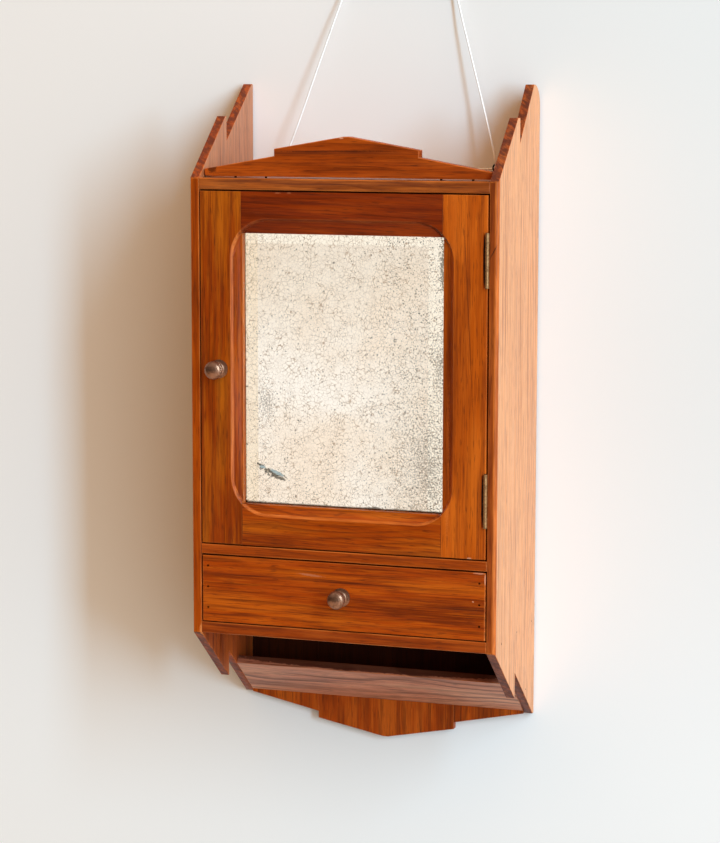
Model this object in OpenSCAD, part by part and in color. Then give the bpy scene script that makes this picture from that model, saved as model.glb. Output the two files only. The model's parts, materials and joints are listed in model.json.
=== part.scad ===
// Small wall cabinet: a mirrored door, a drawer below it and an open trough under the drawer.
// Millimetres. X runs to the right, Y runs into the wall and Z runs up.
// The origin is the middle of the back, on the wall plane. "f" is a distance back from the front edge.

/* [Case] */
// Width over both side boards
case_w = 335; // [280:5:400]
// Depth from the wall to the front edge
case_d = 158; // [140:2:190]
// Thickness of the two side boards
side_t = 9.5; // [8:0.5:13]
// Thickness of the top board
top_t = 12; // [10:0.5:16]
// Height of the door opening
door_open_h = 376; // [330:2:460]
// Thickness of the board between the door and the drawer
mid_t = 10.5; // [9:0.5:15]
// Height of the drawer opening
drawer_open_h = 74; // [64:1:100]
// Thickness of the board under the drawer
low_t = 12; // [9:0.5:16]
// Thickness of the back boards
back_t = 8; // [6:0.5:11]
// Depth of the housings that hold the boards in the sides
housing_d = 3; // [2:0.5:5]
// Distance that the housings stop short of the front edge
housing_stop = 12; // [8:1:25]

/* [Side outline] */
// Height of the front tooth above the top board
ear_tooth_h = 63; // [52:0.1:72]
// Distance from the front edge to the step behind the front tooth
ear_notch_f = 79.5; // [72:0.5:88]
// Width of the flat on the left board's front tooth
ear_tooth_w_left = 4; // [2:0.5:10]
// Width of the flat on the right board's front tooth
ear_tooth_w_right = 8.5; // [2:0.5:10]
// Height of the step behind the front tooth
ear_step_h = 25.5; // [18:0.1:32]
// Height of the rear tooth above the top board
ear_h = 97; // [84:1:110]
// Width of the flat on the rear tooth
ear_rear_w = 3; // [2:0.5:12]
// Rounding of the left board's top back corner
ear_back_r_left = 2; // [1:0.5:20]
// Rounding of the right board's top back corner
ear_back_r_right = 22; // [1:0.5:24]
// Slope of the lower cuts below level, in degrees
foot_angle = 39.4; // [34:0.2:43]
// Distance from the front edge to the tip of the lower tooth
foot_tooth_f = 78.5; // [66:0.5:90]
// Height of the step behind the lower tooth
foot_step_h = 27.5; // [20:0.5:34]
// Width of the flat at the lowest back corner
foot_flat_w = 4.2; // [3:0.2:6]

/* [Back and apron] */
// Distance from the middle to each step of the apron
apron_step_x = 79; // [60:1:100]
// Drop of the apron from the sides' lowest corner to the step
apron_step_z = 16.5; // [10:0.5:24]
// Height of the step
apron_step_h = 7.5; // [4:0.5:12]
// Drop of the apron from the sides' lowest corner to its point
apron_point_z = 39; // [32:0.5:50]
// Width of the flat at the apron's point
apron_flat_w = 6; // [3:1:14]

/* [Crest] */
// Thickness of the crest board
crest_t = 12; // [9:0.5:16]
// Distance of the crest behind the front edge
crest_set = 13; // [6:0.5:24]
// Gap between the crest and each side board
crest_end_gap = 1; // [0.6:0.2:4]
// Gap between the crest and the top board
crest_lift = 1.5; // [1:0.1:3]
// Height of the crest at its ends
crest_end_h = 7.5; // [5:0.5:12]
// Distance from the middle to each step of the crest
crest_step_x = 79; // [60:1:100]
// Height of the crest below the step
crest_low_h = 21.5; // [16:0.5:26]
// Height of the crest above the step
crest_high_h = 29; // [27:0.5:34]
// Height of the crest at its point
crest_point_h = 42; // [37:0.5:54]
// Rounding of the crest's lower corners
crest_corner_r = 3; // [1.5:0.5:4]
// Diameter of the four pegs under the crest
peg_d = 2.6; // [2:0.2:4]
// Length of a peg in each board
peg_seat = 7; // [4:0.5:9]
// Distance from the pegs' middle to the inner pegs
peg_inner_x = 95.5; // [80:0.5:102]
// Distance between the two pegs of a pair
peg_pitch = 34; // [24:1:40]
// Distance of the pegs' middle from the crest's middle
peg_shift = 5.5; // [0:0.5:8]

/* [Trough] */
// Thickness of the trough's sloping front board
lip_t = 9.5; // [7:0.5:12]
// Width of the sloping front board, measured down the slope
lip_w = 64; // [50:1:70]

/* [Door] */
// Thickness of the door frame
door_t = 21; // [19:0.5:26]
// Width of the left stile, on the knob side
stile_w_left = 45.5; // [42:0.5:54]
// Width of the right stile, on the hinge side
stile_w_right = 47.5; // [42:0.5:54]
// Height of the two rails
rail_w = 43.5; // [41:0.5:52]
// Gap beside the door on the knob side
door_gap_knob = 1.4; // [1.2:0.1:2.4]
// Gap beside the door on the hinge side
door_gap_hinge = 1.8; // [1.4:0.1:2.2]
// Gap above the door
door_gap_top = 1.5; // [0.8:0.1:2.5]
// Gap below the door
door_gap_low = 1.5; // [0.8:0.1:2.5]
// Thickness of the rails' tenons
tenon_t = 6; // [5:0.5:7]
// Length of the rails' tenons
tenon_len = 26; // [16:1:32]
// Height of the rails' tenons
tenon_h = 24; // [16:1:26]
// Height and depth of the door stop under the top board
stop_t = 9; // [6:0.5:12]
// Length of the door stop
stop_len = 90; // [50:5:140]
// Distance of the door stop from the left side board
stop_in = 30; // [10:2:60]
// Gap between the closed door and its stop
stop_gap = 0.3; // [0.2:0.1:0.8]

/* [Mirror opening] */
// Depth of the small cove round the opening
cove_d = 2.2; // [1:0.1:3]
// Depth of the hollowed border at the mirror's edge
hollow_d = 4.5; // [3.2:0.1:6]
// Width of the hollowed border at the sides
hollow_side = 12; // [8:0.5:14]
// Width of the hollowed border at the top
hollow_top = 15.5; // [10:0.5:18]
// Width of the hollowed border at the bottom
hollow_low = 12; // [8:0.5:16]
// Radius of the rounded corners of the opening
hollow_r = 41; // [30:1:46]
// Thickness of the frame in front of the mirror
lip_front_t = 12; // [11.5:0.5:15]
// Width of the rebate that holds the mirror
rebate_w = 8; // [5:0.5:12]

/* [Mirror] */
// Gap round the mirror in its rebate
glass_gap = 1; // [0.4:0.1:2]
// Thickness of the mirror glass at its edge
glass_edge_t = 2.6; // [2:0.1:3]
// Height of the polished bevel on the mirror glass
glass_rise = 1.5; // [0.8:0.1:2.2]
// Width of the polished bevel on the mirror glass
glass_bevel_w = 21; // [16:1:30]
// Thickness of the silvering with its backing paint
silver_t = 0.3; // [0.2:0.1:0.6]
// Gap behind the backing board
backing_gap = 0.2; // [0.1:0.1:0.4]
// Width of the beads that hold the backing board
bead_w = 12; // [11:0.5:18]
// Thickness of the beads
bead_t = 3; // [2:0.5:5]
// Overlap of the beads on the backing board
bead_lap = 4; // [2:0.5:6]
// Diameter of the bead pins' heads
bead_pin_d = 2.4; // [1.6:0.2:3.2]
// Length of the bead pins
bead_pin_len = 10; // [6:1:14]

/* [Hinges] */
// Length of each hinge
hinge_len = 56; // [44:1:70]
// Radius of the hinge barrel
barrel_r = 2; // [1.8:0.1:2.2]
// Distance of the hinge axis in front of the case
axis_proud = 1.2; // [1:0.1:2]
// Thickness of a hinge leaf
leaf_t = 1; // [0.8:0.1:1.2]
// Width of a hinge leaf, from the axis
leaf_w = 16; // [12:0.5:18]
// Radius of the hinge pin
pin_r = 1; // [0.8:0.1:1.1]
// Running gap round the hinge pin
pin_gap = 0.05; // [0.03:0.01:0.08]
// Gap between neighbouring knuckles
knuckle_gap = 0.3; // [0.2:0.1:0.5]
// Gap between a barrel and the wood beside it
barrel_clear = 0.9; // [0.5:0.1:1.2]
// Distance from the door's top to the upper hinge
hinge_drop = 38; // [30:1:60]
// Distance from the door's bottom to the lower hinge
hinge_lift = 33; // [28:1:60]
// Radius of the hinge screws
hinge_screw_r = 1.1; // [0.9:0.1:1.4]
// Radius of the hinge screws' heads
hinge_head_r = 2.3; // [1.8:0.1:2.6]
// Length of the hinge screws
hinge_screw_len = 8; // [6:0.5:8.5]
// Distance between neighbouring hinge screws
hinge_screw_pitch = 20; // [12:1:20]

/* [Catch] */
// Radius of the ball catch's barrel
catch_r = 3.5; // [3.2:0.1:4.5]
// Length of the ball catch's barrel
catch_len = 10; // [7:0.5:14]
// Radius of the catch ball
ball_r = 2.4; // [2:0.1:2.6]
// Distance that the ball stands out of the door
ball_out = 0.8; // [0.4:0.1:0.9]
// Height of the catch above the knob
catch_up = 28; // [20:1:60]
// Thickness of the catch plate in the side board
plate_t = 1; // [0.6:0.1:1.5]
// Width of the catch plate
plate_w = 14; // [12:1:18]
// Height of the catch plate
plate_h = 34; // [26:1:44]
// Radius of the catch plate's hole
plate_hole_r = 1.8; // [1.2:0.1:2.2]

/* [Drawer] */
// Thickness of the drawer front
drawer_front_t = 14; // [10:0.5:18]
// Gap beside the drawer front at each end
drawer_gap_side = 1.2; // [0.8:0.1:2]
// Gap above the drawer front
drawer_gap_top = 1.7; // [1:0.1:2.5]
// Gap below the drawer front
drawer_gap_low = 1.2; // [0.8:0.1:2]
// Thickness of the drawer sides
drawer_side_t = 11; // [8:0.5:14]
// Distance of the drawer sides in from the front's ends
drawer_side_in = 2; // [1:0.5:4]
// Height of the drawer sides
drawer_side_h = 60; // [50:1:62]
// Gap between the drawer sides and the board that they slide on
drawer_run_gap = 0.3; // [0.2:0.1:0.5]
// Gap between the drawer and the back boards
drawer_end_gap = 3; // [1:0.5:8]
// Thickness of the drawer back
drawer_back_t = 8; // [6:0.5:12]
// Thickness of the drawer bottom
drawer_base_t = 4; // [3:0.5:6]
// Height of the drawer bottom above the sides' lower edges
drawer_base_z = 6; // [4:0.5:12]
// Depth of the groove that holds the drawer bottom
groove_d = 4; // [2:0.5:6]

/* [Knobs] */
// Diameter of the knob's head
knob_d = 19.4; // [16:0.2:24]
// Distance from the face to the widest part of the head
knob_rim = 16.5; // [14:0.5:20]
// Height of the head's dome
knob_dome = 6.5; // [4:0.5:9]
// Height of the head's underside
knob_under = 4; // [2.5:0.5:5]
// Diameter of the knob's foot ring
knob_foot_d = 19.6; // [16:0.2:24]
// Thickness of the knob's foot ring
knob_foot_t = 1.8; // [1:0.2:3]
// Diameter of the knob's shoulder ring
knob_ring_d = 16.4; // [13:0.2:20]
// Height of the knob's shoulder ring
knob_ring_t = 2.6; // [1.6:0.2:4]
// Diameter of the knob's neck
knob_neck_d = 9.4; // [7:0.2:12]
// Distance from the door's edge to the door knob's middle
knob_inset = 20.5; // [16:0.5:26]
// Radius of the knobs' screws
knob_screw_r = 1.8; // [1.4:0.1:2.2]
// Gap round a knob's screw in the wood
knob_screw_gap = 0.1; // [0.1:0.1:0.4]
// Length of the screw inside a knob
knob_screw_in = 8; // [6:0.5:10]
// Radius of the knob screws' heads
knob_head_r = 4; // [3:0.2:5]
// Thickness of the knob screws' heads
knob_head_t = 2; // [1.4:0.1:3]

/* [Inner shelf] */
// Thickness of the inner shelf
shelf_t = 9; // [6:0.5:12]
// Height of the shelf's underside above the middle board
shelf_up = 178; // [140:2:220]
// Gap between the shelf and the case
shelf_gap = 0.3; // [0.2:0.1:1]
// Distance of the shelf's front edge behind the door frame
shelf_set = 8; // [6:1:30]
// Height and thickness of the shelf battens
batten_t = 9; // [6:0.5:12]

/* [Nails] */
// Radius of a nail
nail_r = 0.8; // [0.6:0.1:1.1]
// Radius of a nail's head
nail_head_r = 1.1; // [0.8:0.1:1.6]
// Length of a nail
nail_len = 22; // [18:1:26]
// Distance from the front edge to the first side nail
side_nail_f = 25; // [16:1:36]
// Distance from the back boards to the last side nail
side_nail_b = 5; // [4:1:20]
// Distance from the drawer front's ends to its nails
drawer_nail_in = 6.5; // [5:0.5:10]
// Distance from the drawer front's top to its first nail
drawer_nail_down = 11; // [7:0.5:14]
// Distance between neighbouring drawer nails
drawer_nail_pitch = 22.6; // [15:0.2:23]
// Distance from a back board's edge to its nails
back_nail_in = 18; // [10:1:26]

/* [Hanging cord] */
// Distance of each screw eye from the case's side, before the pair is shifted
eye_edge = 47; // [45:0.5:58]
// Distance of the middle of the pair from the middle of the case
eye_shift = 5; // [0:0.5:6]
// Distance of the screw eyes in front of the back boards
eye_in = 8; // [6:0.5:14]
// Radius of the wire of a screw eye
eye_wire_r = 0.9; // [0.7:0.1:1.1]
// Radius of a screw eye's ring, to the middle of the wire
eye_ring_r = 4.6; // [4:0.1:6]
// Height of the ring's middle above the top board
eye_up = 9; // [7:0.5:12]
// Length of a screw eye's shank in the wood
eye_shank = 10; // [7:0.5:11]
// Turn of the screw eyes about their shanks
eye_turn = 30; // [0:5:60]
// Diameter of the hanging cord
cord_d = 2; // [1.6:0.2:2.4]
// Radius of the knot that joins the ends of the cord
knot_r = 2.7; // [2.4:0.1:3]

/* [Hidden] */
$fn = 48;

// A hair's breadth for cuts that run past a face
over = 1;
front = -case_d;
inner_x = case_w / 2 - side_t;
board_back = -back_t;
board_d = case_d - back_t;

// Levels of the case, from the middle of its height
case_h = top_t + door_open_h + mid_t + drawer_open_h + low_t;
top_z = case_h / 2;
door_open_top = top_z - top_t;
door_open_low = door_open_top - door_open_h;
drawer_open_top = door_open_low - mid_t;
drawer_open_low = drawer_open_top - drawer_open_h;
low_z = -case_h / 2;

// Corners of the side outline
ear_tooth_z = top_z + ear_tooth_h;
ear_notch_z = ear_tooth_z - ear_step_h;
ear_top_z = top_z + ear_h;
foot_tooth_z = low_z - foot_tooth_f * tan(foot_angle);
foot_notch_z = foot_tooth_z + foot_step_h;
foot_low_f = case_d - foot_flat_w;
foot_low_z = foot_notch_z - (foot_low_f - foot_tooth_f) * tan(foot_angle);

// The trough's sloping board, its front corners on the sides' lower cut
lip_low_z = foot_notch_z - (board_d - foot_tooth_f) * tan(foot_angle);
lip_top_f = board_d - lip_w * cos(foot_angle);
lip_top_z = lip_low_z + lip_w * sin(foot_angle);
lip_in_f = lip_top_f + lip_t * sin(foot_angle);
lip_in_z = lip_top_z + lip_t * cos(foot_angle);
lip_end_z = lip_in_z - (board_d - lip_in_f) * tan(foot_angle);

// Edges of the door, of its mirror opening and of its rebate
door_l = -inner_x + door_gap_knob;
door_r = inner_x - door_gap_hinge;
door_top = door_open_top - door_gap_top;
door_low = door_open_low + door_gap_low;
door_back = front + door_t;
sight_l = door_l + stile_w_left;
sight_r = door_r - stile_w_right;
sight_top = door_top - rail_w;
sight_low = door_low + rail_w;
sight_w = sight_r - sight_l;
tenon_y = front + door_t / 2 - tenon_t / 2;

// Depths of the mirror's layers, from the front of the door
glass_side = rebate_w - glass_gap;
glass_seat = lip_front_t + glass_rise * glass_side / glass_bevel_w;
silver_f = glass_seat + glass_edge_t;
backing_f = silver_f + silver_t;
backing_t = door_t - backing_f - backing_gap;

// The hinges' axis and levels
axis_x = inner_x - barrel_r;
axis_y = front - axis_proud;
hinge_mid_z = [door_top - hinge_drop - hinge_len / 2, door_low + hinge_lift + hinge_len / 2];
knuckles = 5;
knuckle_len = hinge_len / knuckles;
leaf_start = barrel_r + knuckle_gap;
leaf_screw_y = axis_y + (leaf_start + leaf_w) / 2;
screw_rows = [-1, 0, 1];

// The drawer's edges
drawer_w = 2 * (inner_x - drawer_gap_side);
drawer_top = drawer_open_top - drawer_gap_top;
drawer_low = drawer_open_low + drawer_gap_low;
drawer_front_back = front + drawer_front_t;
drawer_rear = board_back - drawer_end_gap;
drawer_side_x = drawer_w / 2 - drawer_side_in - drawer_side_t;
drawer_side_z = drawer_open_low + drawer_run_gap;
drawer_base_low = drawer_side_z + drawer_base_z;
drawer_base_top = drawer_base_low + drawer_base_t;

knob_z = (door_top + door_low) / 2;
knob_x = door_l + knob_inset;
drawer_knob_z = (drawer_top + drawer_low) / 2;
catch_y = front + door_t / 2;
catch_z = knob_z + catch_up;

shelf_z = door_open_low + shelf_up;
shelf_front = door_back + bead_t + shelf_set;

eye_x = case_w / 2 - eye_edge;
eye_y = board_back - eye_in;
eye_z = top_z + eye_up;

// Route of the cord: up from the left eye, over two wall nails, down to the right eye and back
cord_route = [
  [-111.6, -14, 251], [-113.6, -16.4, 252], [-114.7, -18.8, 253.6], [-114.8, -20.6, 256],
  [-114, -21.2, 259], [-112.4, -21, 262.5], [-109.4, -19.8, 268], [-96.2, -15, 306],
  [-78.9, -11, 356], [-62.2, -7, 404], [-52.5, -4, 432], [-50.6, -4, 436.5], [-47.3, -4, 440.3],
  [-43, -4, 442], [-10, -4, 442], [30, -4, 442], [64, -4, 442], [68.5, -4, 441], [72, -4, 438.5],
  [75, -4, 434.5], [76.7, -4, 430], [84, -7, 404], [97.7, -11, 356], [111.9, -15, 306],
  [122.5, -19.8, 268], [123.9, -21, 262.5], [124.6, -21.2, 259.2], [124.8, -20.6, 256],
  [124.7, -18.8, 253.6], [123.6, -16.4, 252], [121.6, -14, 251], [118.5, -12.2, 250.4],
  [114, -11.2, 250], [108, -11, 249.8], [60, -11, 249.6], [0, -11, 249.4], [-60, -11, 249.6],
  [-98, -11, 249.8], [-104, -11.2, 250], [-107.5, -11.9, 250.3]
];
cord_sides = 8;
// The knot fills the gap between the route's two ends
knot_at = (cord_route[0] + cord_route[len(cord_route) - 1]) / 2;

// Outline of a side board as distances to the wall and heights, for the flat on its front
// tooth and the rounding of its top back corner
function side_outline(tooth_w, back_r) = concat(
  [
    [front, low_z],
    [front, top_z],
    [front + ear_notch_f - tooth_w, ear_tooth_z],
    [front + ear_notch_f, ear_tooth_z],
    [front + ear_notch_f, ear_notch_z],
    [-back_r - ear_rear_w, ear_top_z]
  ],
  [
    for (a = [90:-9:0])
      [-back_r + back_r * cos(a), ear_top_z - back_r + back_r * sin(a)]
  ],
  [
    [0, foot_low_z],
    [front + foot_low_f, foot_low_z],
    [front + foot_tooth_f, foot_notch_z],
    [front + foot_tooth_f, foot_tooth_z]
  ]
);

// Stands an outline of distances and heights up across the case, from x0 to x1
module across(x0, x1) {
  translate([x0, 0, 0])
    rotate([90, 0, 90])
      linear_extrude(x1 - x0) children();
}

// Stands an outline of widths and heights up, from y0 back to y1
module facing(y0, y1) {
  translate([0, y1, 0])
    rotate([90, 0, 0])
      linear_extrude(y1 - y0) children();
}

// A box from one corner to the other
module box(a, b) {
  translate(a) cube(b - a);
}

// A round bar from p along the direction that turn gives
module bar(p, turn, r, len) {
  translate(p)
    rotate(turn) cylinder(r = r, h = len);
}

// A nail with its head just under the surface at p
module nail(p, turn, len = nail_len) {
  bar(p, turn, nail_r, len);
  bar(p, turn, nail_head_r, nail_head_r);
}

// The housing that holds a board's end, or the tongue that fills it
module housing(z0, z1) {
  box(
    [-inner_x - housing_d, front + housing_stop, z0],
    [inner_x + housing_d, board_back, z1]
  );
}

// One side board with the given outline, for x from x0 to x1
module side_board(x0, x1, outline) {
  difference() {
    across(x0, x1) polygon(outline);
    housing(door_open_top, top_z);
    housing(drawer_open_top, door_open_low);
    children();
  }
}

module side_panel_left() {
  color("#a5562a")
    side_board(-case_w / 2, -inner_x, side_outline(ear_tooth_w_left, ear_back_r_left))
      catch_plate_blank();
}

module side_panel_right() {
  color("#e0905a")
    side_board(inner_x, case_w / 2, side_outline(ear_tooth_w_right, ear_back_r_right))
      for (z = hinge_mid_z)
        translate([axis_x, axis_y, z - hinge_len / 2 - knuckle_gap])
          cylinder(r = barrel_r + pin_gap, h = hinge_len + 2 * knuckle_gap);
}

// A board that fills its housings
module housed_board(z0, z1) {
  box([-inner_x, front, z0], [inner_x, board_back, z1]);
  housing(z0, z1);
}

module top_board() {
  color("#a8521f") housed_board(door_open_top, top_z);
}

module middle_board() {
  color("#8f4319") housed_board(drawer_open_top, door_open_low);
}

module drawer_board() {
  color("#a04c1c") box([-inner_x, front, low_z], [inner_x, board_back, drawer_open_low]);
}

// The back boards meet at the steps of the apron; s is -1 at the left and 1 at the right
module side_back_board(s) {
  color("#8a3f18")
    facing(board_back, 0)
      polygon([
        [s * inner_x, top_z],
        [s * apron_step_x, top_z],
        [s * apron_step_x, foot_low_z - apron_step_z],
        [s * inner_x, foot_low_z]
      ]);
}

module back_board_left() {
  side_back_board(-1);
}

module back_board_right() {
  side_back_board(1);
}

module back_board_centre() {
  color("#94451a")
    facing(board_back, 0)
      polygon([
        [apron_step_x, top_z],
        [-apron_step_x, top_z],
        [-apron_step_x, foot_low_z - apron_step_z - apron_step_h],
        [-apron_flat_w / 2, foot_low_z - apron_point_z],
        [apron_flat_w / 2, foot_low_z - apron_point_z],
        [apron_step_x, foot_low_z - apron_step_z - apron_step_h]
      ]);
}

module trough_front() {
  color("#94604a")
    across(-inner_x, inner_x)
      polygon([
        [board_back, lip_low_z],
        [front + lip_top_f, lip_top_z],
        [front + lip_in_f, lip_in_z],
        [board_back, lip_end_z]
      ]);
}

// The crest's ends stop short of the side boards
crest_x = inner_x - crest_end_gap;
crest_z = top_z + crest_lift;

// A quarter round at a lower corner of the crest; s is -1 at the left and 1 at the right
function crest_corner(s) = [
  for (a = s > 0 ? [-90:15:0] : [180:15:270])
    [
      s * (crest_x - crest_corner_r) + crest_corner_r * cos(a),
      crest_z + crest_corner_r + crest_corner_r * sin(a)
    ]
];

module crest_board() {
  color("#b05a22")
    facing(front + crest_set, front + crest_set + crest_t)
      polygon(concat(
        crest_corner(-1),
        crest_corner(1),
        [
          [crest_x, crest_z + crest_end_h],
          [crest_step_x, crest_z + crest_low_h],
          [crest_step_x, crest_z + crest_high_h],
          [crest_corner_r, crest_z + crest_point_h],
          [-crest_corner_r, crest_z + crest_point_h],
          [-crest_step_x, crest_z + crest_high_h],
          [-crest_step_x, crest_z + crest_low_h],
          [-crest_x, crest_z + crest_end_h]
        ]
      ));
}

module crest_pegs() {
  color("#2e1a10")
    for (x = [
      -peg_inner_x - peg_pitch, -peg_inner_x, peg_inner_x, peg_inner_x + peg_pitch
    ])
      bar(
        [x + peg_shift, front + crest_set + crest_t / 2, top_z - peg_seat],
        [0, 0, 0], peg_d / 2, crest_lift + 2 * peg_seat
      );
}

module inner_shelf() {
  color("#9a5a30")
    box(
      [-inner_x + shelf_gap, shelf_front, shelf_z],
      [inner_x - shelf_gap, board_back - shelf_gap, shelf_z + shelf_t]
    );
}

// A batten on a side board; s is -1 at the left and 1 at the right
module shelf_batten(s) {
  color("#8a4c26")
    translate([s * (inner_x - batten_t / 2), 0, 0])
      box(
        [-batten_t / 2, shelf_front + shelf_set, shelf_z - batten_t],
        [batten_t / 2, board_back, shelf_z]
      );
}

module shelf_batten_left() {
  shelf_batten(-1);
}

module shelf_batten_right() {
  shelf_batten(1);
}

module door_stop() {
  color("#8a4c26")
    box(
      [-inner_x + stop_in, door_back + stop_gap, door_open_top - stop_t],
      [-inner_x + stop_in + stop_len, door_back + stop_gap + stop_t, door_open_top]
    );
}

// The nails through the side boards: three into the drawer board and one into the trough front
side_nail_pitch = (board_d - side_nail_f - side_nail_b) / 2;
lip_nail_f = (lip_in_f + board_d) / 2 - lip_t / 2;
lip_nail_z = lip_in_z - (lip_nail_f - lip_in_f) * tan(foot_angle) - lip_t / 3;

module case_nails() {
  color("#3a2a20")
    for (s = [-1, 1]) {
      for (i = [0:2])
        nail(
          [s * case_w / 2, front + side_nail_f + i * side_nail_pitch, low_z + low_t / 2],
          [0, -s * 90, 0]
        );
      nail([s * case_w / 2, front + lip_nail_f, lip_nail_z], [0, -s * 90, 0]);
    }
}

module back_nails() {
  color("#4a3a30")
    for (z = [top_z - top_t / 2, door_open_low - mid_t / 2, low_z + low_t / 2])
      for (x = [
        back_nail_in - inner_x, -apron_step_x - back_nail_in, back_nail_in - apron_step_x,
        apron_step_x - back_nail_in, apron_step_x + back_nail_in, inner_x - back_nail_in
      ])
        nail([x, 0, z], [90, 0, 0]);
}

// The catch plate before its hole is drilled, let into the left side board
module catch_plate_blank() {
  box(
    [-inner_x - plate_t, catch_y - plate_w / 2, catch_z - plate_h / 2],
    [-inner_x, catch_y + plate_w / 2, catch_z + plate_h / 2]
  );
}

module catch_plate() {
  color("#b08d4a")
    difference() {
      catch_plate_blank();
      bar([-inner_x - plate_t - over, catch_y, catch_z], [0, 90, 0], plate_hole_r, plate_t + 2 * over);
    }
}

// A screw eye: a ring on a shank in the top board; s is -1 at the left and 1 at the right
module screw_eye(s) {
  color("#1c1a19")
    translate([eye_shift + s * eye_x, eye_y, eye_z])
      rotate([0, 0, s * eye_turn]) {
        rotate([90, 0, 0])
          rotate_extrude() translate([eye_ring_r, 0]) circle(r = eye_wire_r, $fn = 24);
        translate([0, 0, -eye_up - eye_shank])
          cylinder(r = eye_wire_r, h = eye_up + eye_shank - eye_ring_r);
      }
}

module screw_eye_left() {
  screw_eye(-1);
}

module screw_eye_right() {
  screw_eye(1);
}

function unit(v) = v / norm(v);

// Direction of the cord at point i, along the chord between its neighbours
function heading(p, i) = unit(p[min(i + 1, len(p) - 1)] - p[max(i - 1, 0)]);

// The ring of points round the cord at point i
function cord_ring(p, i) =
  let (
    t = heading(p, i),
    side = unit(cross(t, [0, 1, 0])),
    other = cross(t, side)
  )
  [
    for (k = [0:cord_sides - 1])
      let (a = 360 * k / cord_sides)
        p[i] + cord_d / 2 * (cos(a) * side + sin(a) * other)
  ];

// A tube of the cord's diameter along a route, with triangles for faces
module tube(p) {
  n = cord_sides;
  last = len(p) - 1;
  points = [for (i = [0:last]) each cord_ring(p, i)];
  wall = [
    for (i = [0:last - 1], k = [0:n - 1])
      let (a = i * n + k, b = i * n + (k + 1) % n)
        each [[a, b, b + n], [a, b + n, a + n]]
  ];
  ends = [
    for (k = [1:n - 2])
      each [[0, k + 1, k], [last * n, last * n + k, last * n + k + 1]]
  ];
  polyhedron(points, concat(wall, ends));
}

module hanging_cord() {
  color("#efece4") tube(cord_route);
}

module cord_knot() {
  color("#efece4") translate(knot_at) sphere(r = knot_r);
}

// The places of one leaf's knuckles: the even ones belong to the case, the odd ones to the door
module knuckle_stack(z, first) {
  for (k = [first:2:knuckles - 1])
    translate([axis_x, axis_y, z - hinge_len / 2 + k * knuckle_len + knuckle_gap / 2])
      children();
}

// A hinge leaf at height z; s is 1 on the case side and -1 on the door side
module hinge_leaf(z, s) {
  first = s > 0 ? 0 : 1;
  face = s * (barrel_r - leaf_t);
  len = knuckle_len - knuckle_gap;
  color("#a8895a")
    difference() {
      union() {
        translate([axis_x + face + (s > 0 ? 0 : -leaf_t), axis_y + leaf_start, z - hinge_len / 2])
          cube([leaf_t, leaf_w - leaf_start, hinge_len]);
        knuckle_stack(z, first) {
          cylinder(r = barrel_r, h = len);
        }
        knuckle_stack(z, first) {
          translate([face + (s > 0 ? 0 : -leaf_t), 0, 0]) cube([leaf_t, leaf_start, len]);
        }
      }
      translate([axis_x, axis_y, z - hinge_len])
        cylinder(r = s > 0 ? pin_r : pin_r + pin_gap, h = 2 * hinge_len);
      for (k = screw_rows)
        translate([axis_x + face, leaf_screw_y, z + k * hinge_screw_pitch])
          rotate([0, s * 90, 0])
            countersunk(hinge_screw_r + pin_gap, leaf_t + over);
    }
}

// A countersunk hole or screw along +Z from its head, whose cone is as deep as a leaf is thick
module countersunk(r, len) {
  cylinder(r1 = hinge_head_r, r2 = r, h = leaf_t);
  cylinder(r = r, h = len);
}

module hinge_upper_case_leaf() {
  hinge_leaf(hinge_mid_z[0], 1);
}

module hinge_lower_case_leaf() {
  hinge_leaf(hinge_mid_z[1], 1);
}

module hinge_upper_door_leaf() {
  hinge_leaf(hinge_mid_z[0], -1);
}

module hinge_lower_door_leaf() {
  hinge_leaf(hinge_mid_z[1], -1);
}

module hinge_pin(z) {
  color("#8f7a50")
    translate([axis_x, axis_y, z - hinge_len / 2]) cylinder(r = pin_r, h = hinge_len);
}

module hinge_upper_pin() {
  hinge_pin(hinge_mid_z[0]);
}

module hinge_lower_pin() {
  hinge_pin(hinge_mid_z[1]);
}

// The screws of both leaves on one side; s is 1 on the case side and -1 on the door side
module hinge_screws(s) {
  color("#9a8358")
    for (z = hinge_mid_z)
      for (k = screw_rows)
        translate([axis_x + s * (barrel_r - leaf_t), leaf_screw_y, z + k * hinge_screw_pitch])
          rotate([0, s * 90, 0])
            countersunk(hinge_screw_r, hinge_screw_len);
}

module hinge_case_screws() {
  hinge_screws(1);
}

module hinge_door_screws() {
  hinge_screws(-1);
}

// A rounded rectangle in the door's face, inset from the hollow's outline
module hollow_outline(inset) {
  r = hollow_r - inset;
  x0 = sight_l - hollow_side + hollow_r;
  x1 = sight_r + hollow_side - hollow_r;
  z0 = sight_low - hollow_low + hollow_r;
  z1 = sight_top + hollow_top - hollow_r;
  hull()
    for (x = [x0, x1])
      for (z = [z0, z1])
        translate([x, z]) circle(r = r, $fn = 64);
}

// The cove: the opening's outline narrows as it goes in
module cove() {
  hull() {
    facing(front - cove_d / 4, front) hollow_outline(0);
    facing(front + cove_d - 0.01, front + cove_d) hollow_outline(cove_d);
  }
}

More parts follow.
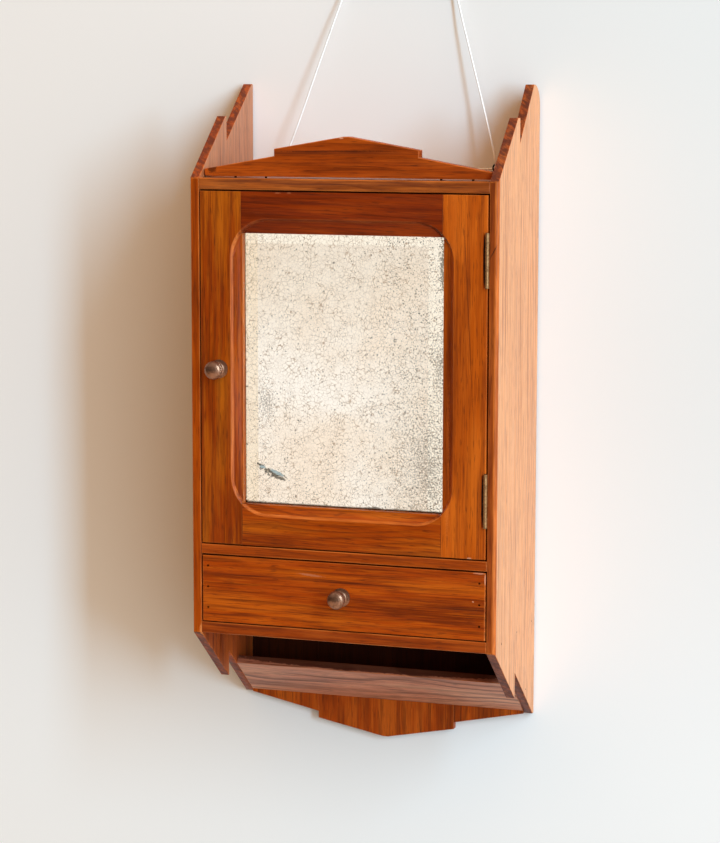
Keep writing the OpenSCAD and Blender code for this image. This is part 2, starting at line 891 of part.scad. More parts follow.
// The sloping border inside the cove: it is deepest at the mirror's edge
module hollow_floor() {
  side = hollow_side - cove_d;
  intersection() {
    facing(front - over, front + hollow_d) hollow_outline(cove_d);
    translate([0, 0, sight_low - rail_w])
      linear_extrude(sight_top - sight_low + 2 * rail_w)
        polygon([
          [sight_l - side, front - over],
          [sight_r + side, front - over],
          [sight_r + side, front + cove_d],
          [sight_r, front + hollow_d],
          [sight_l, front + hollow_d],
          [sight_l - side, front + cove_d]
        ]);
    across(door_l, door_r)
      polygon([
        [front - over, sight_low - hollow_low + cove_d],
        [front - over, sight_top + hollow_top - cove_d],
        [front + cove_d, sight_top + hollow_top - cove_d],
        [front + hollow_d, sight_top],
        [front + hollow_d, sight_low],
        [front + cove_d, sight_low - hollow_low + cove_d]
      ]);
  }
}

// What is cut from all four members of the door frame
module frame_cuts() {
  cove();
  hollow_floor();
  box(
    [sight_l - rebate_w, front + lip_front_t, sight_low - rebate_w],
    [sight_r + rebate_w, door_back + over, sight_top + rebate_w]
  );
}

// The two tenons of a rail whose middle is at height z, or the mortises that hold them
module tenons(z, len) {
  box([sight_l - len, tenon_y, z - tenon_h / 2], [sight_r + len, tenon_y + tenon_t, z + tenon_h / 2]);
}

module frame_mortises() {
  tenons(door_top - rail_w / 2, tenon_len);
  tenons(door_low + rail_w / 2, tenon_len);
}

module door_stile_left() {
  color("#a04e1e")
    difference() {
      box([door_l, front, door_low], [sight_l, door_back, door_top]);
      frame_cuts();
      frame_mortises();
      bar([door_l, catch_y, catch_z], [0, 90, 0], catch_r, catch_len);
      knob_screw_hole(knob_x, knob_z, door_t);
    }
}

module door_stile_right() {
  color("#a85624")
    difference() {
      box([sight_r, front, door_low], [door_r, door_back, door_top]);
      frame_cuts();
      frame_mortises();
      for (z = hinge_mid_z) {
        box(
          [axis_x - barrel_r, front - over, z - hinge_len / 2 - knuckle_gap],
          [door_r + over, axis_y + leaf_w, z + hinge_len / 2 + knuckle_gap]
        );
        translate([axis_x, axis_y, z - hinge_len / 2 - knuckle_gap])
          cylinder(r = barrel_r + barrel_clear, h = hinge_len + 2 * knuckle_gap);
      }
    }
}

// A rail between two heights, with its tenons
module door_rail(z0, z1) {
  color("#8f3f16")
    difference() {
      union() {
        box([sight_l, front, z0], [sight_r, door_back, z1]);
        tenons((z0 + z1) / 2, tenon_len);
      }
      frame_cuts();
    }
}

module door_rail_top() {
  door_rail(sight_top, door_top);
}

module door_rail_bottom() {
  door_rail(door_low, sight_low);
}

// The mirror glass: a plate whose front border is bevelled on all four sides
module mirror_glass() {
  y0 = front + glass_seat;
  y1 = front + silver_f;
  color("#dcd8c8")
    intersection() {
      translate([0, 0, sight_low - glass_side])
        linear_extrude(sight_top - sight_low + 2 * glass_side)
          polygon([
            [sight_l - glass_side, y1],
            [sight_l - glass_side, y0],
            [sight_l - glass_side + glass_bevel_w, y0 - glass_rise],
            [sight_r + glass_side - glass_bevel_w, y0 - glass_rise],
            [sight_r + glass_side, y0],
            [sight_r + glass_side, y1]
          ]);
      across(sight_l - glass_side, sight_r + glass_side)
        polygon([
          [y1, sight_low - glass_side],
          [y0, sight_low - glass_side],
          [y0 - glass_rise, sight_low - glass_side + glass_bevel_w],
          [y0 - glass_rise, sight_top + glass_side - glass_bevel_w],
          [y0, sight_top + glass_side],
          [y1, sight_top + glass_side]
        ]);
    }
}

// A flat layer as large as the mirror, between two depths from the door's front
module mirror_layer(d0, d1) {
  box(
    [sight_l - glass_side, front + d0, sight_low - glass_side],
    [sight_r + glass_side, front + d1, sight_top + glass_side]
  );
}

module mirror_silvering() {
  color("#c8c2ac") mirror_layer(silver_f, backing_f);
}

module mirror_backing() {
  color("#7a5230") mirror_layer(backing_f, backing_f + backing_t);
}

// Edges of the beads' outer rectangle and the length that the side beads fill
bead_out = rebate_w - glass_gap - bead_lap;
bead_l = sight_l - bead_out - bead_w + rebate_w - glass_side;
bead_r = sight_r + bead_out + bead_w - rebate_w + glass_side;
bead_top = sight_top + bead_out + bead_w - rebate_w + glass_side;
bead_low = sight_low - bead_out - bead_w + rebate_w - glass_side;

module bead(a, b) {
  color("#8a4a22")
    box([a[0], door_back, a[1]], [b[0], door_back + bead_t, b[1]]);
}

module mirror_bead_top() {
  bead([bead_l, bead_top - bead_w], [bead_r, bead_top]);
}

module mirror_bead_bottom() {
  bead([bead_l, bead_low], [bead_r, bead_low + bead_w]);
}

module mirror_bead_left() {
  bead([bead_l, bead_low + bead_w], [bead_l + bead_w, bead_top - bead_w]);
}

module mirror_bead_right() {
  bead([bead_r - bead_w, bead_low + bead_w], [bead_r, bead_top - bead_w]);
}

// Pins through the beads into the frame, near the beads' outer edges
module bead_pins() {
  x_out = [bead_l + bead_pin_d, bead_r - bead_pin_d];
  z_out = [bead_low + bead_pin_d, bead_top - bead_pin_d];
  color("#6a5a48") {
    for (x = x_out)
      for (k = [-1, 0, 1])
        bead_pin(x, (sight_low + sight_top) / 2 + k * (sight_top - sight_low) / 3);
    for (z = z_out)
      for (k = [-1, 0, 1])
        bead_pin((sight_l + sight_r) / 2 + k * sight_w / 3, z);
  }
}

module bead_pin(x, z) {
  bar([x, door_back + bead_t, z], [90, 0, 0], bead_pin_d / 4, bead_pin_len);
  bar([x, door_back + bead_t, z], [90, 0, 0], bead_pin_d / 2, bead_pin_d / 4);
}

// Half outline of a knob: radius and distance from the face that it stands on
function knob_outline() = concat(
  [
    [0, 0],
    [knob_foot_d / 2, 0],
    [knob_foot_d / 2, knob_foot_t],
    [knob_ring_d / 2 - 0.8, knob_foot_t + 0.6],
    [knob_ring_d / 2, knob_foot_t + 1.4],
    [knob_ring_d / 2, knob_foot_t + knob_ring_t]
  ],
  [
    for (a = [15:15:90])
      [
        knob_ring_d / 2 - (knob_ring_d - knob_neck_d) / 2 * sin(a),
        knob_rim - knob_under - (knob_rim - knob_under - knob_foot_t - knob_ring_t) * cos(a)
      ]
  ],
  [
    for (a = [-75:15:75])
      [
        knob_d / 2 * cos(a),
        knob_rim + (a < 0 ? knob_under : knob_dome) * sin(a)
      ]
  ],
  [[0, knob_rim + knob_dome]]
);

module knob(x, z) {
  color("#7d5f4c")
    translate([x, front, z])
      rotate([90, 0, 0])
        difference() {
          rotate_extrude() polygon(knob_outline());
          translate([0, 0, -over]) cylinder(r = knob_screw_r, h = knob_screw_in + over);
        }
}

// The hole for a knob's screw through wood of thickness t
module knob_screw_hole(x, z, t) {
  bar([x, front + t + over, z], [90, 0, 0], knob_screw_r + knob_screw_gap, t + 2 * over);
}

// The screw of a knob, through wood of thickness t, with its head on the inside
module knob_screw(x, z, t) {
  color("#8c8478")
    translate([x, front + t, z])
      rotate([90, 0, 0]) {
        cylinder(r = knob_screw_r, h = t + knob_screw_in);
        translate([0, 0, -knob_head_t]) cylinder(r = knob_head_r, h = knob_head_t);
      }
}

module door_knob() {
  knob(knob_x, knob_z);
}

module door_knob_screw() {
  knob_screw(knob_x, knob_z, door_t);
}

module drawer_knob() {
  knob(0, drawer_knob_z);
}

module drawer_knob_screw() {
  knob_screw(0, drawer_knob_z, drawer_front_t);
}

// The ball catch in the edge of the left stile; the barrel's mouth narrows to keep the ball in
ball_x = door_l - ball_out + ball_r;
ball_bore_r = ball_r + pin_gap;
ball_depth = ball_r - ball_out;
mouth_turn = asin(ball_depth / ball_bore_r);
mouth_steps = 8;

module catch_barrel() {
  color("#b08d4a")
    translate([door_l, catch_y, catch_z])
      rotate([0, 90, 0])
        rotate_extrude()
          polygon(concat(
            [
              for (k = [0:mouth_steps])
                let (a = mouth_turn * (1 - k / mouth_steps))
                  [ball_bore_r * cos(a), ball_depth - ball_bore_r * sin(a)]
            ],
            [[ball_bore_r, 2 * ball_r], [0, 2 * ball_r], [0, catch_len], [catch_r, catch_len], [catch_r, 0]]
          ));
}

module catch_ball() {
  color("#c8c4bc") translate([ball_x, catch_y, catch_z]) sphere(r = ball_r);
}

// The groove for the drawer bottom, cut into the front and the sides
module base_groove() {
  box(
    [-drawer_side_x - groove_d, drawer_front_back - groove_d, drawer_base_low],
    [drawer_side_x + groove_d, drawer_rear, drawer_base_top]
  );
}

module drawer_front() {
  color("#b0571f")
    difference() {
      box([-drawer_w / 2, front, drawer_low], [drawer_w / 2, drawer_front_back, drawer_top]);
      base_groove();
      knob_screw_hole(0, drawer_knob_z, drawer_front_t);
    }
}

// A drawer side whose inner face is at s times the side's distance from the middle
module drawer_side(s) {
  color("#a06a42")
    difference() {
      translate([s * (drawer_side_x + drawer_side_t / 2), 0, 0])
        box(
          [-drawer_side_t / 2, drawer_front_back, drawer_side_z],
          [drawer_side_t / 2, drawer_rear, drawer_side_z + drawer_side_h]
        );
      base_groove();
    }
}

module drawer_side_left() {
  drawer_side(-1);
}

module drawer_side_right() {
  drawer_side(1);
}

module drawer_back() {
  color("#a06a42")
    box(
      [-drawer_side_x, drawer_rear - drawer_back_t, drawer_base_top],
      [drawer_side_x, drawer_rear, drawer_side_z + drawer_side_h]
    );
}

module drawer_bottom() {
  color("#b98a5c") base_groove();
}

module drawer_nails() {
  color("#c9a27a")
    for (s = [-1, 1])
      for (i = [0:2])
        nail(
          [
            s * (drawer_w / 2 - drawer_nail_in),
            front,
            drawer_top - drawer_nail_down - i * drawer_nail_pitch
          ],
          [-90, 0, 0]
        );
}

side_panel_left();
side_panel_right();
top_board();
middle_board();
drawer_board();
back_board_left();
back_board_centre();
back_board_right();
trough_front();
crest_board();
crest_pegs();
inner_shelf();
shelf_batten_left();
shelf_batten_right();
door_stop();
case_nails();
back_nails();
catch_plate();
screw_eye_left();
screw_eye_right();
hanging_cord();
cord_knot();
hinge_upper_case_leaf();
hinge_lower_case_leaf();
hinge_upper_pin();
hinge_lower_pin();
hinge_case_screws();
door_stile_left();
door_stile_right();
door_rail_top();
door_rail_bottom();
mirror_glass();
mirror_silvering();
mirror_backing();
mirror_bead_top();
mirror_bead_bottom();
mirror_bead_left();
mirror_bead_right();
bead_pins();
hinge_upper_door_leaf();
hinge_lower_door_leaf();
hinge_door_screws();
door_knob();
door_knob_screw();
catch_barrel();
catch_ball();
drawer_front();
drawer_side_left();
drawer_side_right();
drawer_back();
drawer_bottom();
drawer_nails();
drawer_knob();
drawer_knob_screw();
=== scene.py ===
import json
import math

import bmesh
import bpy
from mathutils import Matrix, Vector
from mathutils.geometry import interpolate_bezier


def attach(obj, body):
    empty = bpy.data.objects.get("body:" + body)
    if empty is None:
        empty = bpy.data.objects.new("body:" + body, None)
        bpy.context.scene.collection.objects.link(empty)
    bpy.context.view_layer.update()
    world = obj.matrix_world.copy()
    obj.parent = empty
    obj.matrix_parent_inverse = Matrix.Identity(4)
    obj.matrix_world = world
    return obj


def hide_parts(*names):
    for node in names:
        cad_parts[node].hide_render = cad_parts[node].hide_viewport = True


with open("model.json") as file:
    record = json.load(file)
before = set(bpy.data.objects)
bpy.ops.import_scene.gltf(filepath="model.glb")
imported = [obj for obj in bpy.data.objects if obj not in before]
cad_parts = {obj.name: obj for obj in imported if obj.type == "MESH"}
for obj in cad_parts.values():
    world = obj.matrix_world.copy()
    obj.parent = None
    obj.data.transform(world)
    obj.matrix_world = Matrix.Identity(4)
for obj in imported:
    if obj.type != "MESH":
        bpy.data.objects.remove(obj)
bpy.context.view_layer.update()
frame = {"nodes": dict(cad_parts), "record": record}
scene = bpy.context.scene
print("frame loaded:", len(frame["nodes"]), "solids")

# Places on the solids that the finishes refer to, in metres
frontPlane = -0.158           # the front of the case, the door and the drawer
crestPlane = -0.145           # the front of the crest
railEnds = (-0.1111, 0.1087)  # where the rails meet the stiles, at the sides of the door's opening


def paint(red, green, blue):
    # a screen colour, 0 to 255, as the linear colour that a shader takes
    parts = [c / 255 for c in (red, green, blue)]
    return tuple(c / 12.92 if c <= 0.04045 else ((c + 0.055) / 1.055) ** 2.4 for c in parts) + (1.0,)


# The camera that took the photograph

viewSettings = {
    "eye": (0.8524, -2.6017, 0.33815),
    "target": (0.0205, frontPlane, -0.00675),
    "rollDegrees": 0.09,
    "lens": 107.46,
}


def makeCamera(settings):
    eye, target = Vector(settings["eye"]), Vector(settings["target"])
    ahead = (target - eye).normalized()
    level = ahead.cross(Vector((0, 0, 1))).normalized()
    upright = level.cross(ahead)
    roll = math.radians(settings["rollDegrees"])
    right = math.cos(roll) * level + math.sin(roll) * upright
    top = math.cos(roll) * upright - math.sin(roll) * level
    data = bpy.data.cameras.new("photoView")
    data.lens = settings["lens"]
    camera = bpy.data.objects.new("photoView", data)
    camera.matrix_world = Matrix.Translation(eye) @ Matrix((right, top, -ahead)).transposed().to_4x4()
    scene.collection.objects.link(camera)
    scene.camera = camera


makeCamera(viewSettings)
print("camera placed")


# Helpers for materials

def newMaterial(name):
    material = bpy.data.materials.new(name)
    material.use_nodes = True
    tree = material.node_tree
    tree.nodes.clear()
    shader = tree.nodes.new("ShaderNodeBsdfPrincipled")
    output = tree.nodes.new("ShaderNodeOutputMaterial")
    tree.links.new(shader.outputs["BSDF"], output.inputs["Surface"])
    return material, tree, shader


def addNode(tree, kind, inputs=None, **settings):
    # inputs are numbers, colours or sockets to link from
    node = tree.nodes.new(kind)
    for key, value in settings.items():
        setattr(node, key, value)
    for key, value in (inputs or {}).items():
        if isinstance(value, bpy.types.NodeSocket):
            tree.links.new(value, node.inputs[key])
        else:
            node.inputs[key].default_value = value
    return node


def mixColour(tree, share, first, second):
    return addNode(tree, "ShaderNodeMix", {0: share, 6: first, 7: second}, data_type="RGBA").outputs[2]


def ramp(tree, value, low, high, toLow=0.0, toHigh=1.0):
    inputs = {"Value": value, "From Min": low, "From Max": high, "To Min": toLow, "To Max": toHigh}
    return addNode(tree, "ShaderNodeMapRange", inputs, interpolation_type="SMOOTHSTEP").outputs[0]


def arith(tree, operation, first, second=0.5):
    return addNode(tree, "ShaderNodeMath", {0: first, 1: second}, operation=operation).outputs[0]


def scaleAdd(tree, value, factor, added, kind="ShaderNodeMath"):
    # value times factor, plus added
    return addNode(tree, kind, {0: value, 1: factor, 2: added}, operation="MULTIPLY_ADD").outputs[0]


def noise(tree, vector, scale, detail=2.0, roughness=0.5):
    inputs = {"Vector": vector, "Scale": scale, "Detail": detail, "Roughness": roughness}
    return addNode(tree, "ShaderNodeTexNoise", inputs)


def stretch(tree, vector, factors):
    return addNode(tree, "ShaderNodeVectorMath", {0: vector, 1: factors}, operation="MULTIPLY").outputs[0]


def objectPoint(tree):
    return addNode(tree, "ShaderNodeTexCoord").outputs["Object"]


def separate(tree, vector):
    return addNode(tree, "ShaderNodeSeparateXYZ", {0: vector}).outputs


def placedPoint(tree, point, location, turn=(0, 0, 0), size=(1, 1, 1)):
    # the point as seen from an origin that is moved, turned and scaled on the piece
    inputs = {"Vector": point, "Location": location, "Rotation": turn, "Scale": size}
    return addNode(tree, "ShaderNodeMapping", inputs, vector_type="TEXTURE").outputs[0]


def addBump(tree, shader, height, strength, distance):
    bump = addNode(tree, "ShaderNodeBump", {"Height": height, "Strength": strength, "Distance": distance})
    tree.links.new(bump.outputs[0], shader.inputs["Normal"])


def addMarks(tree, point, colour, marks):
    # small stains, chips and lines: each fills a squashed ball with a ragged edge
    for mark in marks:
        turn = (0, math.radians(mark.get("lean", 0)), 0)
        local = placedPoint(tree, point, mark["at"], turn, mark["size"])
        reach = addNode(tree, "ShaderNodeVectorMath", {0: local}, operation="LENGTH").outputs["Value"]
        rough = noise(tree, point, mark.get("grain", 900), 2).outputs[0]
        uneven = arith(tree, "MULTIPLY", arith(tree, "SUBTRACT", rough), mark.get("ragged", 1.2))
        reach = arith(tree, "ADD", reach, uneven)
        share = ramp(tree, reach, 1.0, mark.get("core", 0.6), 0.0, mark.get("strength", 1.0))
        colour = mixColour(tree, share, colour, paint(*mark["paint"]))
    return colour


# Wood

grainTurns = {"X": (0, 0, 0), "Z": (0, -math.pi / 2, 0)}
grainLayers = {
    # scale along the grain, scale across it, detail, roughness
    "cloud": (5, 42, 3, 0.5),
    "mottle": (14, 170, 3, 0.6),
    "streak": (5, 300, 3, 0.6),
    "fibre": (18, 900, 2, 0.6),
    "pore": (60, 1000, 1, 0.4),
}
ringPeriod = 0.314  # of a wave texture whose scale is 1

teak = {
    "grain": "X",
    "lean": 0.0,             # degrees that the grain leaves its axis
    "pith": (0, 0.1, 0.2),   # a point on the middle of the tree
    "ring": 0.006,           # mean width of a growth ring
    "wander": 0.012,         # how far the rings drift
    "light": (200, 102, 28),
    "mid": (160, 66, 7),
    "dark": (92, 32, 5),
    "pore": (66, 24, 8),
    "worn": (206, 112, 48),  # on the arrises
    "cloud": 0.85,           # how strongly each layer of the grain shows
    "mottle": 0.5,
    "figure": 0.5,
    "streaks": 0.45,
    "fibres": 0.45,
    "pores": 0.5,
    "wornDepth": 0.45,       # how strongly their dark parts show on the arrises
    "endGrain": 0.6,         # grime on the faces cut across the grain, in bars
    "barTurn": (0, 0.5, 0),
    "barSize": (0.014, 0.014, 0.0035),
    "rough": 0.40,
    "gloss": 0.2,
    "edgeGloss": 0.16,
    "relief": 0.1,
    "faces": (),
    "marks": (),
}

jointPaint = (66, 24, 14)
# pale: for chips, and for painted highlights on the drawer front's arrises
chipAndHighlightPaint = (206, 138, 104)
scratchPaint = (196, 120, 80)
# near black, for painted shade in recesses
recessShadePaint = (34, 12, 2)
woods = {
    "sideLeft": {
        "grain": "Z", "pith": (-0.33, 0.06, 0), "light": (187, 86, 8), "mid": (163, 64, 1),
        "endGrain": 0.85,
        "marks": (
            {"at": (-0.158, frontPlane, -0.243), "size": (0.003, 0.006, 0.012), "paint": (214, 128, 66)},
        ),
    },
    "sideRight": {
        "grain": "Z", "pith": (0.30, 0.09, 0), "light": (177, 89, 31), "mid": (152, 66, 18),
        "dark": (81, 28, 7), "worn": (211, 113, 43), "cloud": 0.8, "mottle": 0.6, "endGrain": 0.85,
        "marks": (
            {"at": (0.1625, frontPlane, 0.172), "size": (0.0007, 0.002, 0.010), "lean": 28,
             "paint": (84, 34, 12)},
            {"at": (0.1595, -0.02, 0.3314), "size": (0.003, 0.008, 0.006), "lean": 40, "paint": chipAndHighlightPaint},
            {"at": (0.1563, -0.03, 0.3200), "size": (0.003, 0.008, 0.005), "lean": 40, "paint": chipAndHighlightPaint},
        ),
    },
    # the broad faces of the side boards, where the varnish shines most
    "sideLeftBroad": {
        "grain": "Z", "pith": (-0.33, 0.06, 0), "light": (188, 92, 30), "mid": (164, 72, 20), "gloss": 0.9,
        "faces": (
            {"side": -1, "paint": (225, 154, 98), "share": 0.85, "from": -1},
            {"side": 1, "paint": (186, 121, 78), "share": 0.85, "from": 0.22},
        ),
    },
    "sideRightBroad": {
        "grain": "Z", "pith": (0.30, 0.09, 0), "light": (196, 108, 44), "mid": (176, 88, 36),
        "dark": (128, 62, 32), "pore": (112, 56, 32), "gloss": 0.6, "figure": 0.45, "fibres": 0.6,
        "streaks": 0.7,
        "faces": ({"side": 1, "paint": (222, 158, 105), "share": 0.82, "from": -1},),
    },
    "topBoard": {"pith": (0, 0.02, 0.4), "light": (207, 113, 43), "mid": (168, 81, 20), "gloss": 0.5},
    "middleBoard": {"pith": (0, 0.05, -0.3), "light": (186, 86, 22), "mid": (160, 64, 6)},
    "drawerBoard": {"pith": (0, 0.02, -0.4), "light": (176, 82, 24), "mid": (152, 60, 8)},
    "backBoards": {
        "grain": "Z", "pith": (-0.05, 0.1, 0), "light": (201, 96, 24), "mid": (172, 68, 6),
        "dark": (89, 34, 6), "figure": 0.6, "ring": 0.009,
        "marks": (
            # painted shade: the inside of the trough, painted near black for the shadow under the drawer
            # board and between the sides
            {"at": (0, -0.012, -0.287), "size": (0.23, 0.008, 0.058), "paint": (24, 8, 3), "ragged": 0.3,
             "core": 0.95, "strength": 0.92, "grain": 60},
        ),
    },
    # the lip's pale, greyish colour is painted sheen: it stands for the reflection of the bright room below
    # on its downward-facing face
    "trough": {
        "pith": (0, -0.1, -0.18), "light": (225, 158, 122), "mid": (208, 131, 98), "dark": (88, 39, 18),
        "ring": 0.012, "wander": 0.03, "figure": 0.75, "gloss": 0.5, "rough": 0.45,
        "marks": (
            # painted shadow: the top edge of the lip, in the shade of the drawer board above
            {"at": (0, -0.055, -0.290), "size": (0.18, 0.012, 0.0066), "paint": (66, 26, 8), "ragged": 0.35,
             "core": 0.9, "strength": 0.88, "grain": 200},
        ),
    },
    "crest": {
        "pith": (0, -0.04, 0.16), "light": (186, 83, 17), "mid": (159, 63, 7), "ring": 0.009,
        "marks": (
            {"at": (-0.011, crestPlane, 0.2708), "size": (0.0665, 0.003, 0.0008), "lean": -0.8,
             "paint": (70, 24, 6), "strength": 0.8},
            {"at": (-0.005, crestPlane, 0.2844), "size": (0.0035, 0.003, 0.0012), "paint": chipAndHighlightPaint},
            {"at": (-0.148, crestPlane, 0.254), "size": (0.006, 0.004, 0.009), "paint": (64, 24, 8),
             "strength": 0.75},
        ),
    },
    "stileLeft": {
        "grain": "Z", "pith": (-0.3, -0.08, 0), "light": (187, 96, 14), "mid": (152, 58, 2),
        "worn": (198, 106, 48),
    },
    "stileRight": {
        "grain": "Z", "pith": (0.32, -0.02, 0), "light": (211, 104, 23), "mid": (188, 83, 9),
        "dark": (115, 44, 7), "ring": 0.011, "figure": 0.4,
        "marks": (
            {"at": (0.1366, frontPlane, 0.105), "size": (0.0007, 0.003, 0.125), "lean": -3.2,
             "paint": (104, 40, 8), "strength": 0.7, "ragged": 0.6},
            # painted shade in the hinges' recesses, beside the barrels
            {"at": (0.1528, frontPlane, 0.16275), "size": (0.0013, 0.004, 0.029), "paint": recessShadePaint,
             "ragged": 0.3, "core": 0.8},
            {"at": (0.1528, frontPlane, -0.08325), "size": (0.0013, 0.004, 0.029), "paint": recessShadePaint,
             "ragged": 0.3, "core": 0.8},
            {"at": (0.1148, frontPlane, -0.020), "size": (0.0042, 0.004, 0.115), "paint": (226, 118, 44),
             "ragged": 0.8, "strength": 0.55},
            {"at": (0.139, frontPlane, -0.1435), "size": (0.003, 0.003, 0.0012), "paint": chipAndHighlightPaint},
        ),
    },
    # darker than the stiles, partly its own tone and partly painted shade for the hollow's chamfer, which
    # faces down; its arris wood is darker still, also painted shade
    "railTop": {
        "lean": 2.0, "pith": (0, -0.1, 0.35), "light": (154, 59, 7), "mid": (130, 42, 3),
        "dark": (77, 22, 3), "worn": (150, 70, 26), "ring": 0.008,
        "marks": (
            {"at": (-0.0699, frontPlane, 0.2276), "size": (0.004, 0.003, 0.0007), "paint": scratchPaint,
             "strength": 0.5},
            {"at": (-0.0573, frontPlane, 0.2278), "size": (0.003, 0.003, 0.0007), "paint": scratchPaint,
             "strength": 0.5},
        ),
    },
    "railBottom": {
        "lean": 1.0, "pith": (0.1, -0.08, -0.2), "light": (192, 94, 16), "mid": (167, 65, 2),
        "wander": 0.02,
    },
    "drawerFront": {
        "pith": (0, 0.1, -0.9), "light": (199, 94, 15), "mid": (170, 65, 3), "dark": (80, 25, 3),
        "ring": 0.008, "wander": 0.008, "figure": 0.6, "streaks": 0.8,
        "marks": (
            # pale lines along the top and right arrises near the corner: wear, and a painted highlight
            # where these edges catch the light
            {"at": (0.1500, frontPlane, -0.1585), "size": (0.007, 0.003, 0.0011), "paint": chipAndHighlightPaint,
             "strength": 0.7},
            {"at": (0.1565, frontPlane, -0.1650), "size": (0.0011, 0.003, 0.007), "paint": chipAndHighlightPaint,
             "strength": 0.7},
            {"at": (0.1436, frontPlane, -0.1886), "size": (0.0012, 0.003, 0.001), "paint": chipAndHighlightPaint},
            {"at": (-0.034, frontPlane, -0.1720), "size": (0.016, 0.003, 0.0014), "lean": 4,
             "paint": (196, 126, 92), "strength": 0.5},
        ),
    },
    "drawerBox": {
        "light": (196, 152, 104), "mid": (180, 134, 88), "dark": (140, 96, 58), "pore": (96, 64, 38),
        "worn": (204, 164, 118), "rough": 0.65, "gloss": 0.1,
    },
    "inner": {
        "light": (170, 104, 60), "mid": (150, 84, 44), "dark": (108, 54, 26), "worn": (182, 120, 74),
        "rough": 0.55, "gloss": 0.2,
    },
    "bead": {
        "light": (160, 90, 46), "mid": (140, 74, 34), "dark": (100, 48, 20), "rough": 0.5, "gloss": 0.2,
    },
    "backing": {
        "light": (150, 104, 66), "mid": (136, 92, 56), "dark": (104, 66, 38), "worn": (160, 114, 76),
        "rough": 0.7, "gloss": 0.1, "figure": 0.2,
    },
    "peg": {"grain": "Z", "light": (56, 34, 24), "mid": (44, 26, 18), "dark": (24, 14, 10), "gloss": 0.2},
}
for railName, middle in (("railTop", 0.206), ("railBottom", -0.122)):
    # the rail's joints with the stiles show as dark lines
    joints = tuple({"at": (x, frontPlane, middle), "size": (0.0007, 0.003, 0.0225), "paint": jointPaint,
                    "ragged": 0.5, "strength": 0.85} for x in railEnds)
    woods[railName]["marks"] = woods[railName].get("marks", ()) + joints


def grainLayer(tree, along, name):
    lengthwise, across, detail, roughness = grainLayers[name]
    stretched = stretch(tree, along, (lengthwise, across, across))
    return noise(tree, stretched, 1.0, detail, roughness).outputs[0]


